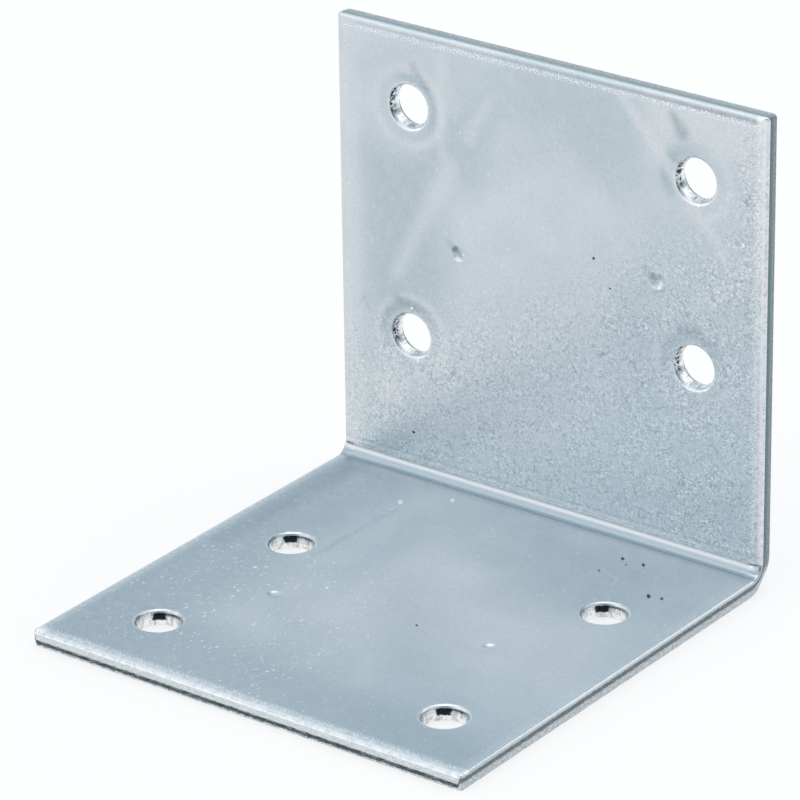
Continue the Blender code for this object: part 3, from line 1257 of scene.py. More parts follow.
    def _tones(self, bench: NodeBench, skin: SkinPatterns) -> Socket:
        """Lay the broad tones of the coat, with the painted highlight, reflection and shade in
        their masks.

        Args:
            bench: the tree's bench.
            skin: the shared patterns.

        Returns:
            The colour.
        """
        mottle = bench.noise(skin.flat, 8.0, 3.0, 0.55, 0.4)
        cloud = bench.noise(skin.flat, 1.3, 3.0, 0.6)
        colour = bench.blend(bench.ease(mottle, 0.35, 0.68, 0.0, 0.22), self.colour, self.cool)
        for tone, finish in ((Tone.COOL, self.cool), (Tone.GRAINED, self.grained),
                             (Tone.RUBBED_AND_HIGHLIGHT, self.rubbed_and_highlight), (Tone.DARK, self.dark)):
            share = bench.times(bench.value(tone.value), bench.ease(cloud, 0.25, 0.7, 0.65, 1.0))
            colour = bench.blend(share, colour, finish)
        return colour

    def _grains(self, bench: NodeBench, skin: SkinPatterns, colour: Socket) -> Socket:
        """Lighten and darken the coat grain by grain.

        Args:
            bench: the tree's bench.
            skin: the shared patterns.
            colour: the colour so far.

        Returns:
            The colour.
        """
        both = bench.weigh(skin.grain, 0.6, skin.fine, 0.4)
        colour = bench.scaled(colour, bench.ease(both, 0.38, 0.62, 0.945, 1.045))
        cluster = bench.ease(bench.noise(skin.flat, 3.5), 0.35, 0.62, 0.35, 1.0)
        share = bench.times(skin.grained, cluster)
        for low, high, amount, finish in ((0.545, 0.60, 0.90, self.bright),
                                          (0.455, 0.40, 0.70, self.dark)):
            grains = bench.times(bench.ease(skin.grain, low, high), amount)
            colour = bench.blend(bench.times(share, grains), colour, finish)
        return colour

    def _flecks(self, bench: NodeBench, skin: SkinPatterns, colour: Socket) -> Socket:
        """Scatter short pale flecks over the flecked areas.

        Args:
            bench: the tree's bench.
            skin: the shared patterns.
            colour: the colour so far.

        Returns:
            The colour.
        """
        uneven = bench.swing(bench.noise(skin.flat, 0.45), 0.55)
        gathered = bench.ease(bench.noise(skin.flat, 5.0), 0.40, 0.60, 0.35, 1.0)
        for size, turn, keep, widest in ((1.3, 0.25, 0.35, 0.13), (0.8, -0.35, 0.35, 0.15),
                                         (0.55, 0.10, 0.40, 0.17)):
            pull = bench.place("ShaderNodeMapping")
            for name, value in (("Vector", skin.flat), ("Rotation", (0.0, 0.0, turn)),
                                ("Scale", (1.0 / size, 0.42 / size, 0.0))):
                bench.feed(pull.inputs[name], value)
            cells = bench.place("ShaderNodeTexVoronoi", voronoi_dimensions="2D")
            bench.feed(cells.inputs["Vector"], pull.outputs[0])
            bench.feed(cells.inputs["Scale"], 1.0)
            chance = bench.place("ShaderNodeSeparateColor")
            bench.feed(chance.inputs[0], cells.outputs["Color"])
            there = bench.ease(chance.outputs[0], keep, keep + 0.02)
            reach = bench.times(chance.outputs[1], widest)
            away = bench.plus(cells.outputs["Distance"], uneven)
            spot = bench.ease(bench.calc("SUBTRACT", reach, away), -0.03, 0.06)
            strength = bench.ease(chance.outputs[2], 0.0, 1.0, 0.25, 1.0)
            share = bench.times(spot, there, bench.value(Tone.FLECKED.value), strength, gathered)
            colour = bench.blend(share, colour, self.bright)
        return colour

    def _hairs(self, bench: NodeBench, skin: SkinPatterns, colour: Socket) -> Socket:
        """Draw thin dark hair lines and pale dots through the grained areas.

        Args:
            bench: the tree's bench.
            skin: the shared patterns.
            colour: the colour so far.

        Returns:
            The colour.
        """
        for size, width, patch, amount in ((3.2, 0.006, 2.0, 0.75), (0.85, 0.018, 1.1, 0.55),
                                           (0.5, 0.026, 0.7, 0.40)):
            contour = bench.near(bench.noise(skin.flat, size, 1.0, 0.5, 0.8), 0.5, width, width)
            broken = bench.ease(bench.noise(skin.flat, patch, 1.0), 0.47, 0.56)
            share = bench.times(contour, broken, skin.grained, amount)
            colour = bench.blend(share, colour, self.dark)
        cluster = bench.ease(bench.noise(skin.flat, 2.2), 0.42, 0.62, 0.25, 1.0)
        dots = bench.ease(bench.noise(skin.flat, 0.30, 1.0), 0.60, 0.70)
        share = bench.times(dots, cluster, skin.grained, 0.65)
        return bench.blend(share, colour, self.bright)

    def _worked(self, bench: NodeBench, ragged: Socket) -> Socket:
        """Find where the drawn-over edges and the rims are burnished.

        Args:
            bench: the tree's bench.
            ragged: the uneven distance from the border.

        Returns:
            The mask.
        """
        on_roll = bench.ease(ragged, self.roll_reach + 0.10, self.roll_reach - 0.30)
        on_roll = bench.times(on_roll, bench.value("burnished"))
        on_rim = bench.times(bench.ease(bench.value("rim"), 0.66, 0.44), 0.40)
        return bench.calc("MAXIMUM", on_roll, on_rim)

    def _in_fold(self, bench: NodeBench, skin: SkinPatterns) -> Socket:
        """Find the inner side of the fold.

        Args:
            bench: the tree's bench.
            skin: the shared patterns.

        Returns:
            The mask.
        """
        half = self.form.fold_length / 2
        return bench.times(bench.near(bench.parts(skin.flat)[1], -half, half, 0.12), skin.inside)

    def _burnish(
        self, bench: NodeBench, skin: SkinPatterns, colour: Socket, worked: Socket, in_fold: Socket
    ) -> Socket:
        """Burnish the worked edges, paint shade into the fold, and paint a dark reflection onto the
        far rims of the wall's holes.

        Args:
            bench: the tree's bench.
            skin: the shared patterns.
            colour: the colour so far.
            worked: where the edges and rims are burnished.
            in_fold: where the fold is.

        Returns:
            The colour.
        """
        length = self.form.fold_length
        both = bench.plus(bench.noise(skin.flat, 0.7), skin.grain)
        patchy = bench.ease(both, 0.85, 1.08, 0.40, 1.0)
        colour = bench.blend(bench.times(worked, patchy), colour, self.burnished)
        # Painted shade in the fold, deeper in its lower part.
        colour = bench.blend(in_fold, colour, self.folded)
        below = bench.ease(bench.parts(skin.flat)[1], -0.50 * length, -0.64 * length)
        colour = bench.blend(bench.times(in_fold, below, 0.8), colour, self.cool)
        # Painted dark reflection in a crescent on the far rims of the wall's holes.
        ahead, beside, on_wall = bench.parts(bench.stored("bearing"))
        painted_dark = bench.times(bench.near(beside, -0.15, 0.72, 0.20), bench.ease(ahead, 0.1, 0.4))
        at_rim = bench.ease(bench.value("rim"), 0.38, 0.22)
        speckled_cover = bench.ease(bench.noise(skin.flat, 0.42, 3.0, 0.6), 0.46, 0.54)
        return bench.blend(bench.times(painted_dark, on_wall, at_rim, speckled_cover), colour, self.spot)

    def _edges(
        self, bench: NodeBench, skin: SkinPatterns, colour: Socket, ragged: Socket
    ) -> Socket:
        """Paint a highlight on the lip of the drawn-over edge and glints along its inner ridge.

        Args:
            bench: the tree's bench.
            skin: the shared patterns.
            colour: the colour so far.
            ragged: the uneven distance from the border.

        Returns:
            The colour.
        """
        at_lip = bench.near(bench.value("border"), 0.42, 0.14, 0.10)
        lip = bench.times(at_lip, bench.value("burnished"), 0.9)
        colour = bench.blend(lip, colour, self.bright)
        ridge = bench.near(ragged, self.roll_reach + 0.10, 0.34, 0.12)
        painted_glints = bench.times(ridge, bench.ease(skin.fine, 0.52, 0.58), bench.value("glint_strength"))
        return bench.blend(painted_glints, colour, self.bright)

    def _fold_lines(self, bench: NodeBench, skin: SkinPatterns, colour: Socket) -> Socket:
        """Paint thin broken lines beside the fold and along it: dark lines of painted shade on the
        wall just above the fold, at the top of the fold and across its middle, with a line of
        painted highlight on the wall between them.

        Args:
            bench: the tree's bench.
            skin: the shared patterns.
            colour: the colour so far.

        Returns:
            The colour.
        """
        length = self.form.fold_length
        across, along, _ = bench.parts(skin.flat)
        wobble = bench.plus(along, bench.swing(skin.grain, 0.16))
        outward = bench.calc("ABSOLUTE", across)
        gaps = bench.ease(bench.noise(skin.flat, 1.8), 0.35, 0.55, 0.45, 1.0)
        from_end, to_end = (bench.ease(outward, *band) for band in self.fold_ends)
        for place, half, finish, amount, at_ends in (
            (0.95, 0.09, self.dark, 0.35, False),
            (0.45, 0.12, self.bright, 0.35, False),
            (-0.12, 0.11, self.crease_shade_and_scratch, 0.55, False),
            (-0.12, 0.18, self.crease_shade_and_scratch, 0.90, True),
            (-0.46 * length, 0.05, self.crease_shade_and_scratch, 0.25, False),
            (-0.50 * length, 0.10, self.crease_shade_and_scratch, 0.55, True),
        ):
            share = bench.times(bench.near(wobble, place, half, 0.05), gaps, amount, skin.inside)
            if at_ends:
                share = bench.times(share, from_end, to_end)
            colour = bench.blend(share, colour, finish)
        return colour

    def _specks(self, bench: NodeBench, skin: SkinPatterns, colour: Socket) -> Socket:
        """Put each speck in its place. Those of the base are drawn out along one direction.

        Args:
            bench: the tree's bench.
            skin: the shared patterns.
            colour: the colour so far.

        Returns:
            The colour.
        """
        level = bench.vector("MULTIPLY", skin.flat, (1.0, 1.0, 0.0))
        uneven = bench.swing(skin.fine, self.mark_unevenness)
        for speck in self.specks:
            middle = (speck.x, self.form.along(speck.leg, speck.row), 0.0)
            apart = bench.vector("SUBTRACT", level, middle)
            if speck.leg is Leg.BASE:
                drawn = bench.measure("DOT_PRODUCT", apart, self.speck_run)
                shorter = bench.scaled(self.speck_run, bench.times(drawn, self.speck_stretch))
                apart = bench.vector("SUBTRACT", apart, shorter)
            away = bench.plus(bench.measure("LENGTH", apart), uneven)
            share = bench.ease(away, speck.radius + 0.06, speck.radius - 0.06)
            finish = self.bright if speck.bright else self.spot
            colour = bench.blend(bench.times(share, skin.inside), colour, finish)
        return colour

    def _scratches(self, bench: NodeBench, skin: SkinPatterns, colour: Socket) -> Socket:
        """Draw each scratch from its start to its end.

        Args:
            bench: the tree's bench.
            skin: the shared patterns.
            colour: the colour so far.

        Returns:
            The colour.
        """
        level = bench.vector("MULTIPLY", skin.flat, (1.0, 1.0, 0.0))
        uneven = bench.times(bench.swing(skin.fine, self.mark_unevenness), 0.5)
        for scratch in self.scratches:
            start, end = (Vector((x, self.form.along(scratch.leg, row), 0.0))
                          for x, row in (scratch.start, scratch.end))
            run = end - start
            past = bench.vector("SUBTRACT", level, tuple(start))
            share = bench.measure("DOT_PRODUCT", past, tuple(run / run.length_squared))
            foot = bench.scaled(tuple(run), bench.calc("ADD", share, 0.0, clamp=True))
            away = bench.plus(bench.measure("DISTANCE", past, foot), uneven)
            line = bench.ease(away, scratch.half + 0.07, scratch.half - 0.05)
            finish, strength = (self.bright, 0.24) if scratch.bright else (self.crease_shade_and_scratch, 0.16)
            colour = bench.blend(bench.times(line, strength, skin.inside), colour, finish)
        return colour


@dataclass(frozen=True)
class CutMetal:
    """A sheared edge: a burnished land or a torn strip, with drag lines along the edge and painted
    shade on the wall's cut faces.
    """

    name: str
    colour: Colour
    roughness: float
    contrast: float
    cut_shade_colour: Colour = (0.235, 0.290, 0.325)
    crack: Colour = (0.060, 0.085, 0.100)
    deep_cut_shade: Colour = (0.100, 0.165, 0.180)
    relief: float = 0.03

    def make(self) -> bpy.types.Material:
        """Make the material.

        Returns:
            The material.
        """
        material, bench = new_finish(self.name)
        flat = bench.stored("flat")
        depth = bench.parts(flat)[2]
        drawn = bench.vector("MULTIPLY", flat, (1.0, 1.0, 4.0))
        lines = bench.noise(drawn, 0.75, 4.0, 0.65)
        spots = bench.noise(flat, 0.30, 3.0, 0.65)
        # Painted shade darkens the wall's cut faces and its top, deepest near the inner face.
        cut_shade = bench.value("cut_shade")
        colour = bench.blend(cut_shade, self.colour, self.cut_shade_colour)
        upper = bench.times(bench.ease(depth, 1.40, 0.95), cut_shade, 0.75)
        colour = bench.blend(upper, colour, self.deep_cut_shade)
        shade = bench.weigh(lines, 0.5, spots, 0.5)
        least, most = 1.0 - self.contrast, 1.0 + self.contrast
        colour = bench.scaled(colour, bench.ease(shade, 0.38, 0.62, least, most))
        uneven = bench.calc("SUBTRACT", bench.weigh(lines, 0.45, spots, 0.35), 0.4)
        away = bench.distance(bench.plus(depth, uneven), bench.value("crack"))
        strength = bench.times(bench.value("cracked"), bench.ease(lines, 0.30, 0.55, 0.6, 1.0))
        cracks = bench.times(bench.ease(away, 0.36, 0.18), strength)
        colour = bench.blend(cracks, colour, self.crack)
        bench.metal(colour, self.roughness, shade, self.relief)
        return material


@dataclass(frozen=True)
class BoreMetal:
    """The inside of a pierced hole: crinkled and glossy, with streaks through the sheet.

    On the far side a dark patch of painted reflection is laid, with painted highlights beside it,
    and the wall's bores have a painted shadow near their back edge.
    """

    name: str
    colour: Colour
    roughness: float
    # Painted dark reflection on the far side of the bores.
    painted_dark: Colour = (0.018, 0.024, 0.028)
    # Painted highlights beside it.
    bright: Colour = (0.930, 0.945, 0.955)
    shadow: Colour = (0.250, 0.300, 0.330)
    relief: float = 0.05

    def make(self) -> bpy.types.Material:
        """Make the material.

        Returns:
            The material.
        """
        material, bench = new_finish(self.name)
        flat = bench.stored("flat")
        streaks = bench.noise(bench.vector("MULTIPLY", flat, (1.0, 1.0, 0.25)), 0.55, 3.0, 0.65)
        spots = bench.noise(flat, 0.42, 3.0, 0.6)
        colour = bench.scaled(self.colour, bench.ease(streaks, 0.36, 0.64, 0.66, 1.30))
        ahead, beside, on_wall = bench.parts(bench.stored("bearing"))
        on_base = bench.calc("SUBTRACT", 1.0, on_wall)
        far = bench.ease(ahead, 0.1, 0.4)
        side = bench.plus(beside, bench.swing(streaks, 0.5))
        depth = bench.plus(bench.parts(flat)[2], bench.swing(spots, 0.5))
        speckled_cover = bench.ease(spots, 0.46, 0.53, 0.10, 1.0)
        # Painted highlights and painted dark reflection, each patch at a side of the bore and a
        # depth.
        for place, reach, depths, cover, leg, finish, amount in (
            (beside, (0.80, 0.14, 0.08), (0.62, 0.30, 0.10), 1.0, on_wall, self.bright, 0.9),
            (side, (0.55, 0.16, 0.06), (0.80, 0.40, 0.10), 1.0, on_base, self.bright, 0.7),
            (beside, (-0.15, 0.75, 0.20), (0.50, 0.42, 0.12), speckled_cover, on_wall, self.painted_dark, 1.0),
            (side, (0.02, 0.30, 0.05), (0.80, 0.42, 0.08), 1.0, on_base, self.painted_dark, 1.0),
            (side, (-0.55, 0.33, 0.08), (0.52, 0.16, 0.08), 1.0, on_base, self.painted_dark, 0.75),
        ):
            patch = bench.times(bench.near(place, *reach), bench.near(depth, *depths), cover)
            colour = bench.blend(bench.times(patch, far, leg, amount), colour, finish)
        at_back, turned = bench.near(depth, 1.84, 0.20, 0.10), bench.ease(beside, 0.0, 0.5)
        colour = bench.blend(bench.times(at_back, on_wall, turned), colour, self.shadow)
        bench.metal(colour, self.roughness, bench.plus(streaks, spots), self.relief)
        return material


@dataclass(frozen=True)
class Bracket:
    """The bracket itself: one sheet with all its faces, edges, bores and marks.

    The directions called ahead, in x and s, point to where each leg's bores have their painted
    dark reflection. The values called firm say how much of its gentle slope a drawn-over edge
    has: on a side, first on the base leg and then what the wall leg has on top of that. A band is
    a pair of distances from the border, between which a mask eases in.
    """

    form: SheetForm
    pattern: Pattern = Pattern()
    edge: ShearedEdge = ShearedEdge()
    corner: PlanCorner = PlanCorner()
    wear_and_painted_light: WearAndPaintedLight = WearAndPaintedLight()
    cell: float = 0.5
    wave: float = 0.02
    wave_seed: int = 3
    wave_lengths: Pair = (34.0, 9.0)
    dish: float = 0.05
    dish_reach: float = 2.2
    groove: float = 0.04
    groove_place: float = 0.12
    groove_width: float = 0.22
    fold_steps: int = 16
    thinning_steps: int = 3
    crease_off: float = 0.15
    crease_step: float = 0.3
    hole_blends: int = 3
    mark_blends: int = 2
    mark_half: float = 2.2
    mark_span: float = 5.0
    mark_rings: tuple[float, ...] = (1.35, 1.15, 1.0, 0.85, 0.65, 0.42, 0.2)
    land_shares: tuple[float, ...] = (0.5, 1.0)
    tear_shares: tuple[float, ...] = (0.3, 0.65)
    firm_front: float = 0.85
    firm_top: float = 0.35
    firm_right: Pair = (0.25, 0.75)
    firm_left: Pair = (0.3, 0.3)
    roll_band: Pair = (1.6, 1.2)
    cut_band: Pair = (0.5, 0.2)
    wall_ahead: Pair = (-0.995, 0.10)
    base_ahead: Pair = (-0.601, 0.799)
    sharp_from: float = 38.0
    outer_from: Pair = (0.9, 1.6)
    out_of_reach: float = 9.0

    def build(self) -> bpy.types.Object:
        """Build and dress the whole piece.

        Returns:
            The object, riding on the bracket's body in place of the CAD solid.
        """
        flat, faces, zones = self._sheet()
        mesh = bpy.data.meshes.new("folded_sheet")
        mesh.from_pydata((self.form.folded(flat) * MM).tolist(), [], faces)
        mesh.polygons.foreach_set("material_index", np.array(zones, dtype=np.int32))
        mesh.polygons.foreach_set("use_smooth", np.ones(len(faces), dtype=bool))
        mesh.validate()
        mesh.set_sharp_from_angle(angle=math.radians(self.sharp_from))
        self._paint(mesh, flat)
        for finish in (
            ZincSkin(self.form),
            CutMetal("burnished_land", (0.66, 0.70, 0.72), 0.28, 0.14),
            CutMetal("torn_edge", (0.62, 0.67, 0.70), 0.38, 0.26),
            BoreMetal("burnished_bore", (0.66, 0.70, 0.72), 0.14),
            BoreMetal("bright_tear", (0.90, 0.92, 0.93), 0.30),
        ):
            mesh.materials.append(finish.make())
        piece = bpy.data.objects.new("folded_sheet", mesh)
        bpy.context.scene.collection.objects.link(piece)
        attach(piece, "root")
        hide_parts(NODE)
        return piece

    def _relief(self, x: Array, s: Array) -> Array:
        """Depth of the inner face under its plain plane.

        Args:
            x: places across.
            s: places along.

        Returns:
            The depth at each place.
        """
        depth = self.wave * Wander(self.wave_seed, *self.wave_lengths).at(x, s)
        for hole in self.pattern.holes(self.form):
            radius = np.hypot(x - hole.x, s - hole.s)
            near = 1.0 - smooth_step(radius, hole.rim, hole.rim + self.dish_reach)
            depth += self.dish * near
            depth += hole.drop(radius)
        for mark in self.pattern.marks(self.form):
            depth += mark.drop(np.hypot(x - mark.x, s - mark.s))
        depth += self.groove * np.exp(-(((s - self.groove_place) / self.groove_width) ** 2))
        return depth

    def _bearing(self, x: Array, s: Array) -> Array:
        """Tell on which side of its hole each place lies.

        Args:
            x: places across.
            s: places along.

        Returns:
            Rows of how far each place lies ahead and beside, and whether it is on the wall leg.
        """
        middles = np.array([(hole.x, hole.s) for hole in self.pattern.holes(self.form)])
        away = np.stack([np.hypot(x - hole_x, s - hole_s) for hole_x, hole_s in middles])
        hole_x, hole_s = middles[np.argmin(away, axis=0)].T
        dx, ds = x - hole_x, s - hole_s
        radius = np.maximum(away.min(axis=0), 1e-6)
        on_wall = s > 0
        ahead_x, ahead_s = (np.where(on_wall, wall, base)
                            for wall, base in zip(self.wall_ahead, self.base_ahead))
        ahead = (dx * ahead_x + ds * ahead_s) / radius
        beside = (ahead_x * ds - ahead_s * dx) / radius
        return np.stack([ahead, beside, on_wall.astype(float)], axis=1)

    def _from_border(self, x: Array, s: Array) -> Array:
        """Distances of places from the border of the blank."""
        return np.minimum(self.form.to_side(x), self.form.to_end(s))

    def _firmness(self, x: Array, s: Array) -> Array:
        """Tell how much of its gentle slope the drawn-over edge has at each place.

        The front end and the wall's right side were cut with a worn tool and have most of it.

        Args:
            x: places across.
            s: places along.

        Returns:
            The share at each place.
        """
        beside = smooth_step(self.form.to_end(s) - self.form.to_side(x), -0.4, 0.4)
        on_wall = smooth_step(s, -2.5, 0.5)
        right, left = (base + more * on_wall for base, more in (self.firm_right, self.firm_left))
        side_share = np.where(x > 0, right, left)
        end_share = np.where(s > self.form.middle, self.firm_top, self.firm_front)
        return end_share + beside * (side_share - end_share)

    def _patches(self, outer: bool) -> list[Patch]:
        """List the patches of one face.

        Args:
            outer: whether it is the outer face, which has no drawn-over rims.

        Returns:
            The patches.
        """
        patches = []
        for hole in self.pattern.holes(self.form):
            half = hole.half_patch
            turns = np.sin(np.linspace(0.0, math.pi / 2, hole.steps + 1))
            radii = hole.rim - hole.reach * turns
            if outer:
                radii = hole.bore + (hole.lean + (hole.rim - hole.bore - hole.lean) * (1.0 - turns))
            patches.append(Patch((hole.x - half, hole.s - half), (hole.x + half, hole.s + half),
                                 (hole.x, hole.s), tuple(radii), self.hole_blends, False))
        half = patches[0].high[0] - patches[0].centre[0]
        for mark in self.pattern.marks(self.form):
            side = math.copysign(1.0, mark.x)
            beside = side * (self.pattern.column - half) + self.pattern.drift
            near, far = sorted((beside, beside - side * self.mark_span))
            radii = tuple(mark.radius * share for share in self.mark_rings)
            patches.append(Patch((near, mark.s - self.mark_half), (far, mark.s + self.mark_half),
                                 (mark.x, mark.s), radii, self.mark_blends, True))
        return patches

    def _face(self, outer: bool) -> FaceNet:
        """Lay the net of one face.

        Args:
            outer: whether it is the outer face.

        Returns:
            The net.
        """
        form = self.form
        patches = self._patches(outer)
        insets = [*self.edge.stations(), self.corner.radius]
        xs = [side * (form.side - inset) for inset in insets for side in (-1, 1)]
        ss = [form.top - inset for inset in insets] + [form.bottom + inset for inset in insets]
        ss += [-form.fold_length * step / self.fold_steps for step in range(self.fold_steps + 1)]
        for step in range(1, self.thinning_steps + 1):
            run = form.thinning_run * step / self.thinning_steps
            ss += [run, -form.fold_length - run]
        for line in (self.crease_off, -form.fold_length - self.crease_off):
            ss += [line - self.crease_step, line, line + self.crease_step]
        for patch in patches:
            xs += [patch.low[0], patch.high[0]]
            ss += [patch.low[1], patch.high[1]]
        return FaceNet(xs, ss, self.cell, patches)

    def _inner_points(self, net: FaceNet) -> Array:
        """Place the points of the inner face, with its relief and its drawn-over edge.

        Args:
            net: the face's net.

        Returns:
            Rows of x, s and depth.
        """
        x, s = np.array(net.places).T
        distance = self._from_border(x, s)
        depth = self._relief(x, s) * smooth_step(distance, 0.0, self.edge.reach)
        depth = depth + self.edge.drop(distance, self._firmness(x, s))
        x, s = self.corner.rounded(x, s, self.form)
        return np.stack([x, s, depth], axis=1)

    def _outer_points(self, net: FaceNet) -> Array:
        """Place the points of the plain outer face, which the leaning tear makes smaller.

        Args:
            net: the face's net.

        Returns:
            Rows of x, s and depth.
        """
        form, reach = self.form, self.edge.reach
        x, s = np.array(net.places).T
        lean = self.edge.lean * (1.0 - smooth_step(self._from_border(x, s), 0.0, reach))
        x, s = self.corner.rounded(x, s, form)
        x = x - np.sign(x) * lean * (np.abs(x) > form.side - reach)
        near_end = np.abs(s - form.middle) > form.half_length - reach
        s = s - np.sign(s - form.middle) * lean * near_end
        return np.stack([x, s, np.full_like(x, form.thickness)], axis=1)

    def _sheet(self) -> tuple[Array, list[tuple[int, ...]], list[int]]:
        """Make all the points and faces in flat coordinates.

        Returns:
            The points as rows of x, s and depth, the faces, and the zone of each face.
        """
        inner, outer = self._face(False), self._face(True)
        points = np.concatenate([self._inner_points(inner), self._outer_points(outer)])
        start = len(inner.places)
        faces = list(inner.faces)
        faces += [tuple(start + point for point in reversed(face)) for face in outer.faces]
        zones = [Zone.SKIN.value] * len(faces)
        hole = self.pattern.holes(self.form)[0]
        kept = hole.bore / (hole.bore + hole.flare)
        walls = [(inner.border, outer.border, self.edge.tear_start, 1.0,
                  (Zone.EDGE_LAND, Zone.EDGE_TEAR))]
        walls += [(rim, back, hole.depth + hole.land, kept, (Zone.BORE, Zone.BORE_TEAR))
                  for rim, back in zip(inner.rims, outer.rims)]
        for front, back, land_end, narrowing, (land, tear) in walls:
            back = [start + point for point in back]
            loops = [front]
            for row in self._wall(points[front], points[back], land_end, narrowing):
                loops.append(list(range(len(points), len(points) + len(row))))
                points = np.concatenate([points, row])
            loops.append(back)
            for step, (above, below) in enumerate(zip(loops, loops[1:])):
                sides = zip(above, below, below[1:] + below[:1], above[1:] + above[:1])
                zone = land if step < len(self.land_shares) else tear
                faces += sides
                zones += [zone.value] * len(front)
        return points, faces, zones

    def _wall(self, high: Array, low: Array, land_end: float, narrowing: float) -> list[Array]:
        """Make the rows of points down a cut wall.

        Args:
            high: the loop at the inner face.
            low: the loop at the outer face.
            land_end: the depth at which the straight land ends.
            narrowing: how much of its width a bore keeps down to there.

        Returns:
            The rows between the two loops.
        """
        rows = []
        middle = high[:, :2].mean(axis=0)
        for share in self.land_shares:
            row = high.copy()
            row[:, :2] = middle + (high[:, :2] - middle) * (1.0 - (1.0 - narrowing) * share)
            row[:, 2] = high[:, 2] + (land_end - high[:, 2]) * share
            rows.append(row)
        edge = rows[-1]
        return rows + [edge + (low - edge) * share for share in self.tear_shares]

    def _paint(self, mesh: bpy.types.Mesh, flat: Array) -> None:
        """Store the flat coordinates and the tone masks, painted light among them, on the mesh.

        Args:
            mesh: the mesh.
            flat: the flat coordinates of its points.
        """
        x, s = flat[:, 0], flat[:, 1]
        inner = 1.0 - smooth_step(flat[:, 2], *self.outer_from)
        layers = {"flat": flat, **self._edge_masks(x, s, inner), "bearing": self._bearing(x, s)}
        for tone, mask in self.wear_and_painted_light.masks(self.form, x, s).items():
            layers[tone.value] = mask * inner
        for name, values in layers.items():
            kind, field = ("FLOAT", "value") if values.ndim == 1 else ("FLOAT_VECTOR", "vector")
            store = mesh.attributes.new(name, kind, "POINT")
            store.data.foreach_set(field, values.astype(np.float32).ravel())

    def _edge_masks(self, x: Array, s: Array, inner: Array) -> dict[str, Array]:
        """Work out the distances from edges and rims, how each edge was cut, and where the painted
        shade and the painted glints of the edges go.

        Args:
            x: places across.
            s: places along.
            inner: 1 on the inner face and 0 on the outer one.

        Returns:
            For each name its value at each place.
        """
        form = self.form
        outside = self.out_of_reach * (1.0 - inner)
        rims = [np.hypot(x - hole.x, s - hole.s) - hole.bore for hole in self.pattern.holes(form)]
        on_wall = smooth_step(s, -1.0, 0.0)
        far, near = self.roll_band
        near_side = smooth_step(np.abs(x), form.side - far, form.side - near)
        wall_side = on_wall * near_side
        base_side = smooth_step(-s, 2.0, 3.5) * near_side
        front = smooth_step(form.bottom - s, -far, -near)
        top = smooth_step(s - form.top, -far, -near)
        burnished = (0.60 * front + 0.05 * top + wall_side * np.where(x > 0, 0.55, 0.08)
                     + base_side * np.where(x > 0, 0.20, 0.35))
        # Strength of the painted glints along each edge's ridge.
        glint_strength = 0.25 + 0.75 * np.maximum(front, top) + 0.6 * wall_side * (x > 0)
        far, near = self.cut_band
        beside = smooth_step(np.abs(x), form.side - far, form.side - near)
        at_top = smooth_step(s, form.top - far, form.top - near) * (1.0 - beside)
        return {
            "border": self._from_border(x, s) + outside,
            "rim": np.min(rims, axis=0) + outside,
            # Painted shade on the cut faces, most on the wall's sides, and on the wall's top.
            "cut_shade": np.clip(beside * (0.25 + 0.75 * on_wall) + 0.40 * at_top, 0.0, 1.0),
            "crack": 1.50 - 0.72 * beside,
            "cracked": np.clip((1.0 - on_wall) * (1.0 - 0.15 * beside), 0.0, 1.0),
            "burnished": np.clip(burnished, 0.0, 1.0),
            "glint_strength": np.clip(glint_strength, 0.0, 1.0),
        }


@dataclass(frozen=True)
class Card:
    """A window of the surroundings that is brighter or darker than the rest.

    Azimuth 0 is the side that the wall's inner face looks to, and angles are in degrees.
    """

    azimuth: float
    elevation: float
    half_width: float
    half_height: float
    soft: float
    colour: Colour

    def mask(self, bench: NodeBench, place: Socket) -> Socket:
        """Lay the nodes that find the window.

        Args:
            bench: the tree's bench.
            place: the direction looked in.

        Returns:
            The socket with 1 inside the window and 0 outside it.
        """
        turn = math.radians(self.azimuth)
        ahead, beside, height = (
            bench.measure("DOT_PRODUCT", place, direction)
            for direction in ((math.sin(turn), -math.cos(turn), 0.0),
                              (math.cos(turn), math.sin(turn), 0.0), (0.0, 0.0, 1.0))
        )
        across = bench.calc("ABSOLUTE", bench.calc("ARCTAN2", beside, ahead))
        up = bench.distance(bench.calc("ARCSINE", height), math.radians(self.elevation))
        masks = []
        for value, half in ((across, self.half_width), (up, self.half_height)):
            low, high = math.radians(half + self.soft), math.radians(half - self.soft)
            masks.append(bench.ease(value, low, high))
        return bench.times(*masks)


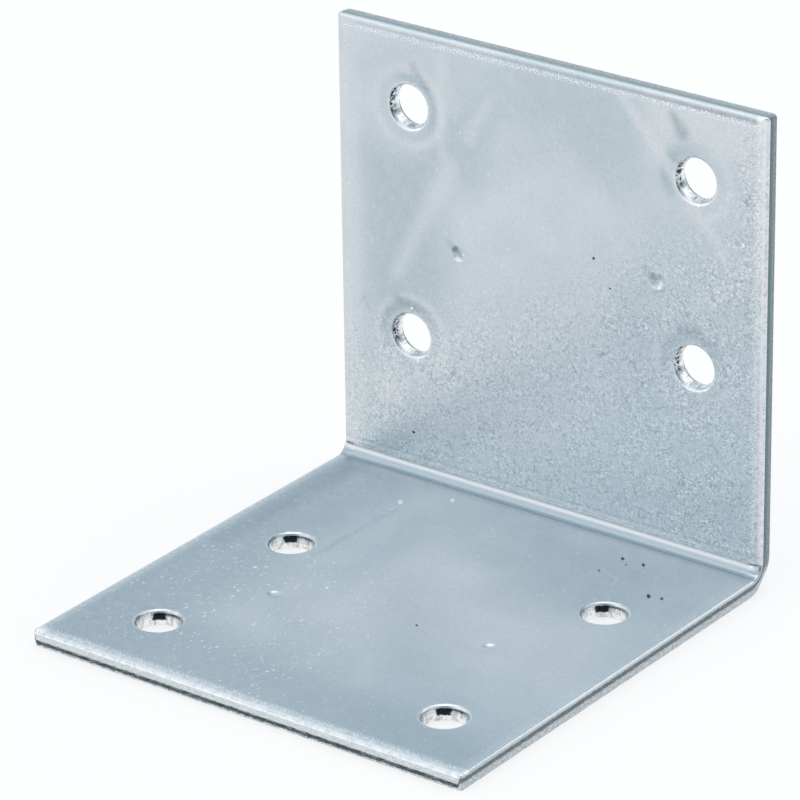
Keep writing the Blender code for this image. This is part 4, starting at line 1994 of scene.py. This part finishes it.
@dataclass(frozen=True)
class Studio:
    """The floor, the surroundings that light the bracket, and the camera."""

    room: Colour = (0.73, 0.80, 0.85)
    cards: tuple[Card, ...] = (
        Card(-38.0, 22.0, 30.0, 10.0, 4.0, (1.42, 1.42, 1.42)),
        Card(-38.0, 7.0, 30.0, 9.0, 4.0, (1.66, 1.64, 1.62)),
        Card(-62.0, 45.0, 42.0, 20.0, 9.0, (1.02, 1.10, 1.15)),
        Card(165.0, 38.0, 28.0, 16.0, 6.0, (1.60, 1.60, 1.62)),
        Card(37.0, 15.0, 26.0, 20.0, 8.0, (0.10, 0.12, 0.14)),
        Card(0.0, 90.0, 200.0, 26.0, 8.0, (1.9, 1.9, 1.9)),
    )
    backdrop: Colour = (1.0, 1.0, 1.0)
    floor_half: float = 450.0
    floor_gap: float = 0.02
    floor_colour: Colour = (0.90, 0.90, 0.90)
    floor_glow: float = 0.70
    camera_place: tuple[float, float, float] = (326.08, -433.47, 273.92)
    camera_azimuth: float = 36.972
    camera_elevation: float = 24.471
    camera_roll: float = -0.819
    camera_lens: float = 238.8
    camera_sensor: float = 36.0
    camera_range: float = 20000.0

    def build(self) -> None:
        """Set up everything round the bracket."""
        self._floor()
        self._surroundings()
        self._camera()
        bpy.context.scene.view_settings.view_transform = "Standard"

    def _floor(self) -> None:
        """Lay the pale floor under the bracket."""
        mesh = bpy.data.meshes.new("floor")
        half = self.floor_half * MM
        corners = [(-half, -half, 0), (half, -half, 0), (half, half, 0), (-half, half, 0)]
        mesh.from_pydata(corners, [], [(0, 1, 2, 3)])
        material, bench = new_finish("pale_floor")
        diffuse = bench.place("ShaderNodeBsdfDiffuse")
        bench.feed(diffuse.inputs["Color"], self.floor_colour)
        glow = bench.place("ShaderNodeEmission")
        bench.feed(glow.inputs["Strength"], 1.0)
        seen = bench.place("ShaderNodeLightPath").outputs
        shown = bench.calc("MAXIMUM", seen["Is Camera Ray"], seen["Is Glossy Ray"])
        shown = bench.calc("MAXIMUM", shown, seen["Is Transmission Ray"])
        share = bench.times(shown, self.floor_glow)
        surface = bench.blend_shaders(share, diffuse.outputs[0], glow.outputs[0])
        bench.finish("ShaderNodeOutputMaterial", surface)
        mesh.materials.append(material)
        floor = bpy.data.objects.new("floor", mesh)
        floor.location.z = -self.floor_gap * MM
        bpy.context.scene.collection.objects.link(floor)

    def _surroundings(self) -> None:
        """Paint the light and dark of the room on the world."""
        world = bpy.data.worlds.new("studio_room")
        world.use_nodes = True
        bpy.context.scene.world = world
        bench = NodeBench(world.node_tree)
        place = bench.place("ShaderNodeTexCoord").outputs["Generated"]
        colour: object = self.room
        for card in self.cards:
            colour = bench.blend(card.mask(bench, place), colour, card.colour)
        shaders = []
        for tint in (colour, self.backdrop):
            background = bench.place("ShaderNodeBackground")
            bench.feed(background.inputs["Color"], tint)
            shaders.append(background.outputs[0])
        seen = bench.place("ShaderNodeLightPath").outputs["Is Camera Ray"]
        bench.finish("ShaderNodeOutputWorld", bench.blend_shaders(seen, *shaders))

    def _camera(self) -> None:
        """Stand the camera in its place."""
        a, e, r = (math.radians(angle) for angle in
                   (self.camera_azimuth, self.camera_elevation, self.camera_roll))
        back = Vector((math.sin(a) * math.cos(e), -math.cos(a) * math.cos(e), math.sin(e)))
        level = Vector((math.cos(a), math.sin(a), 0.0))
        above = back.cross(level)
        right = level * math.cos(r) + above * math.sin(r)
        up = above * math.cos(r) - level * math.sin(r)
        data = bpy.data.cameras.new("camera")
        data.lens = self.camera_lens
        data.sensor_width = self.camera_sensor
        data.clip_end = self.camera_range * MM
        camera = bpy.data.objects.new("camera", data)
        turn = Matrix((right, up, back)).transposed()
        camera.matrix_world = Matrix.Translation(Vector(self.camera_place) * MM) @ turn.to_4x4()
        bpy.context.scene.collection.objects.link(camera)
        bpy.context.scene.camera = camera


def main() -> None:
    """Build the bracket and its studio."""
    logging.basicConfig(level=logging.INFO, format="%(message)s")
    form = SheetForm.from_frame()
    piece = Bracket(form).build()
    triangles = sum(len(face.vertices) - 2 for face in piece.data.polygons)
    LOG.info("%s: %d triangles", piece.name, triangles)
    Studio().build()
    LOG.info("studio: floor, room and camera")


if __name__ == "__main__":
    main()
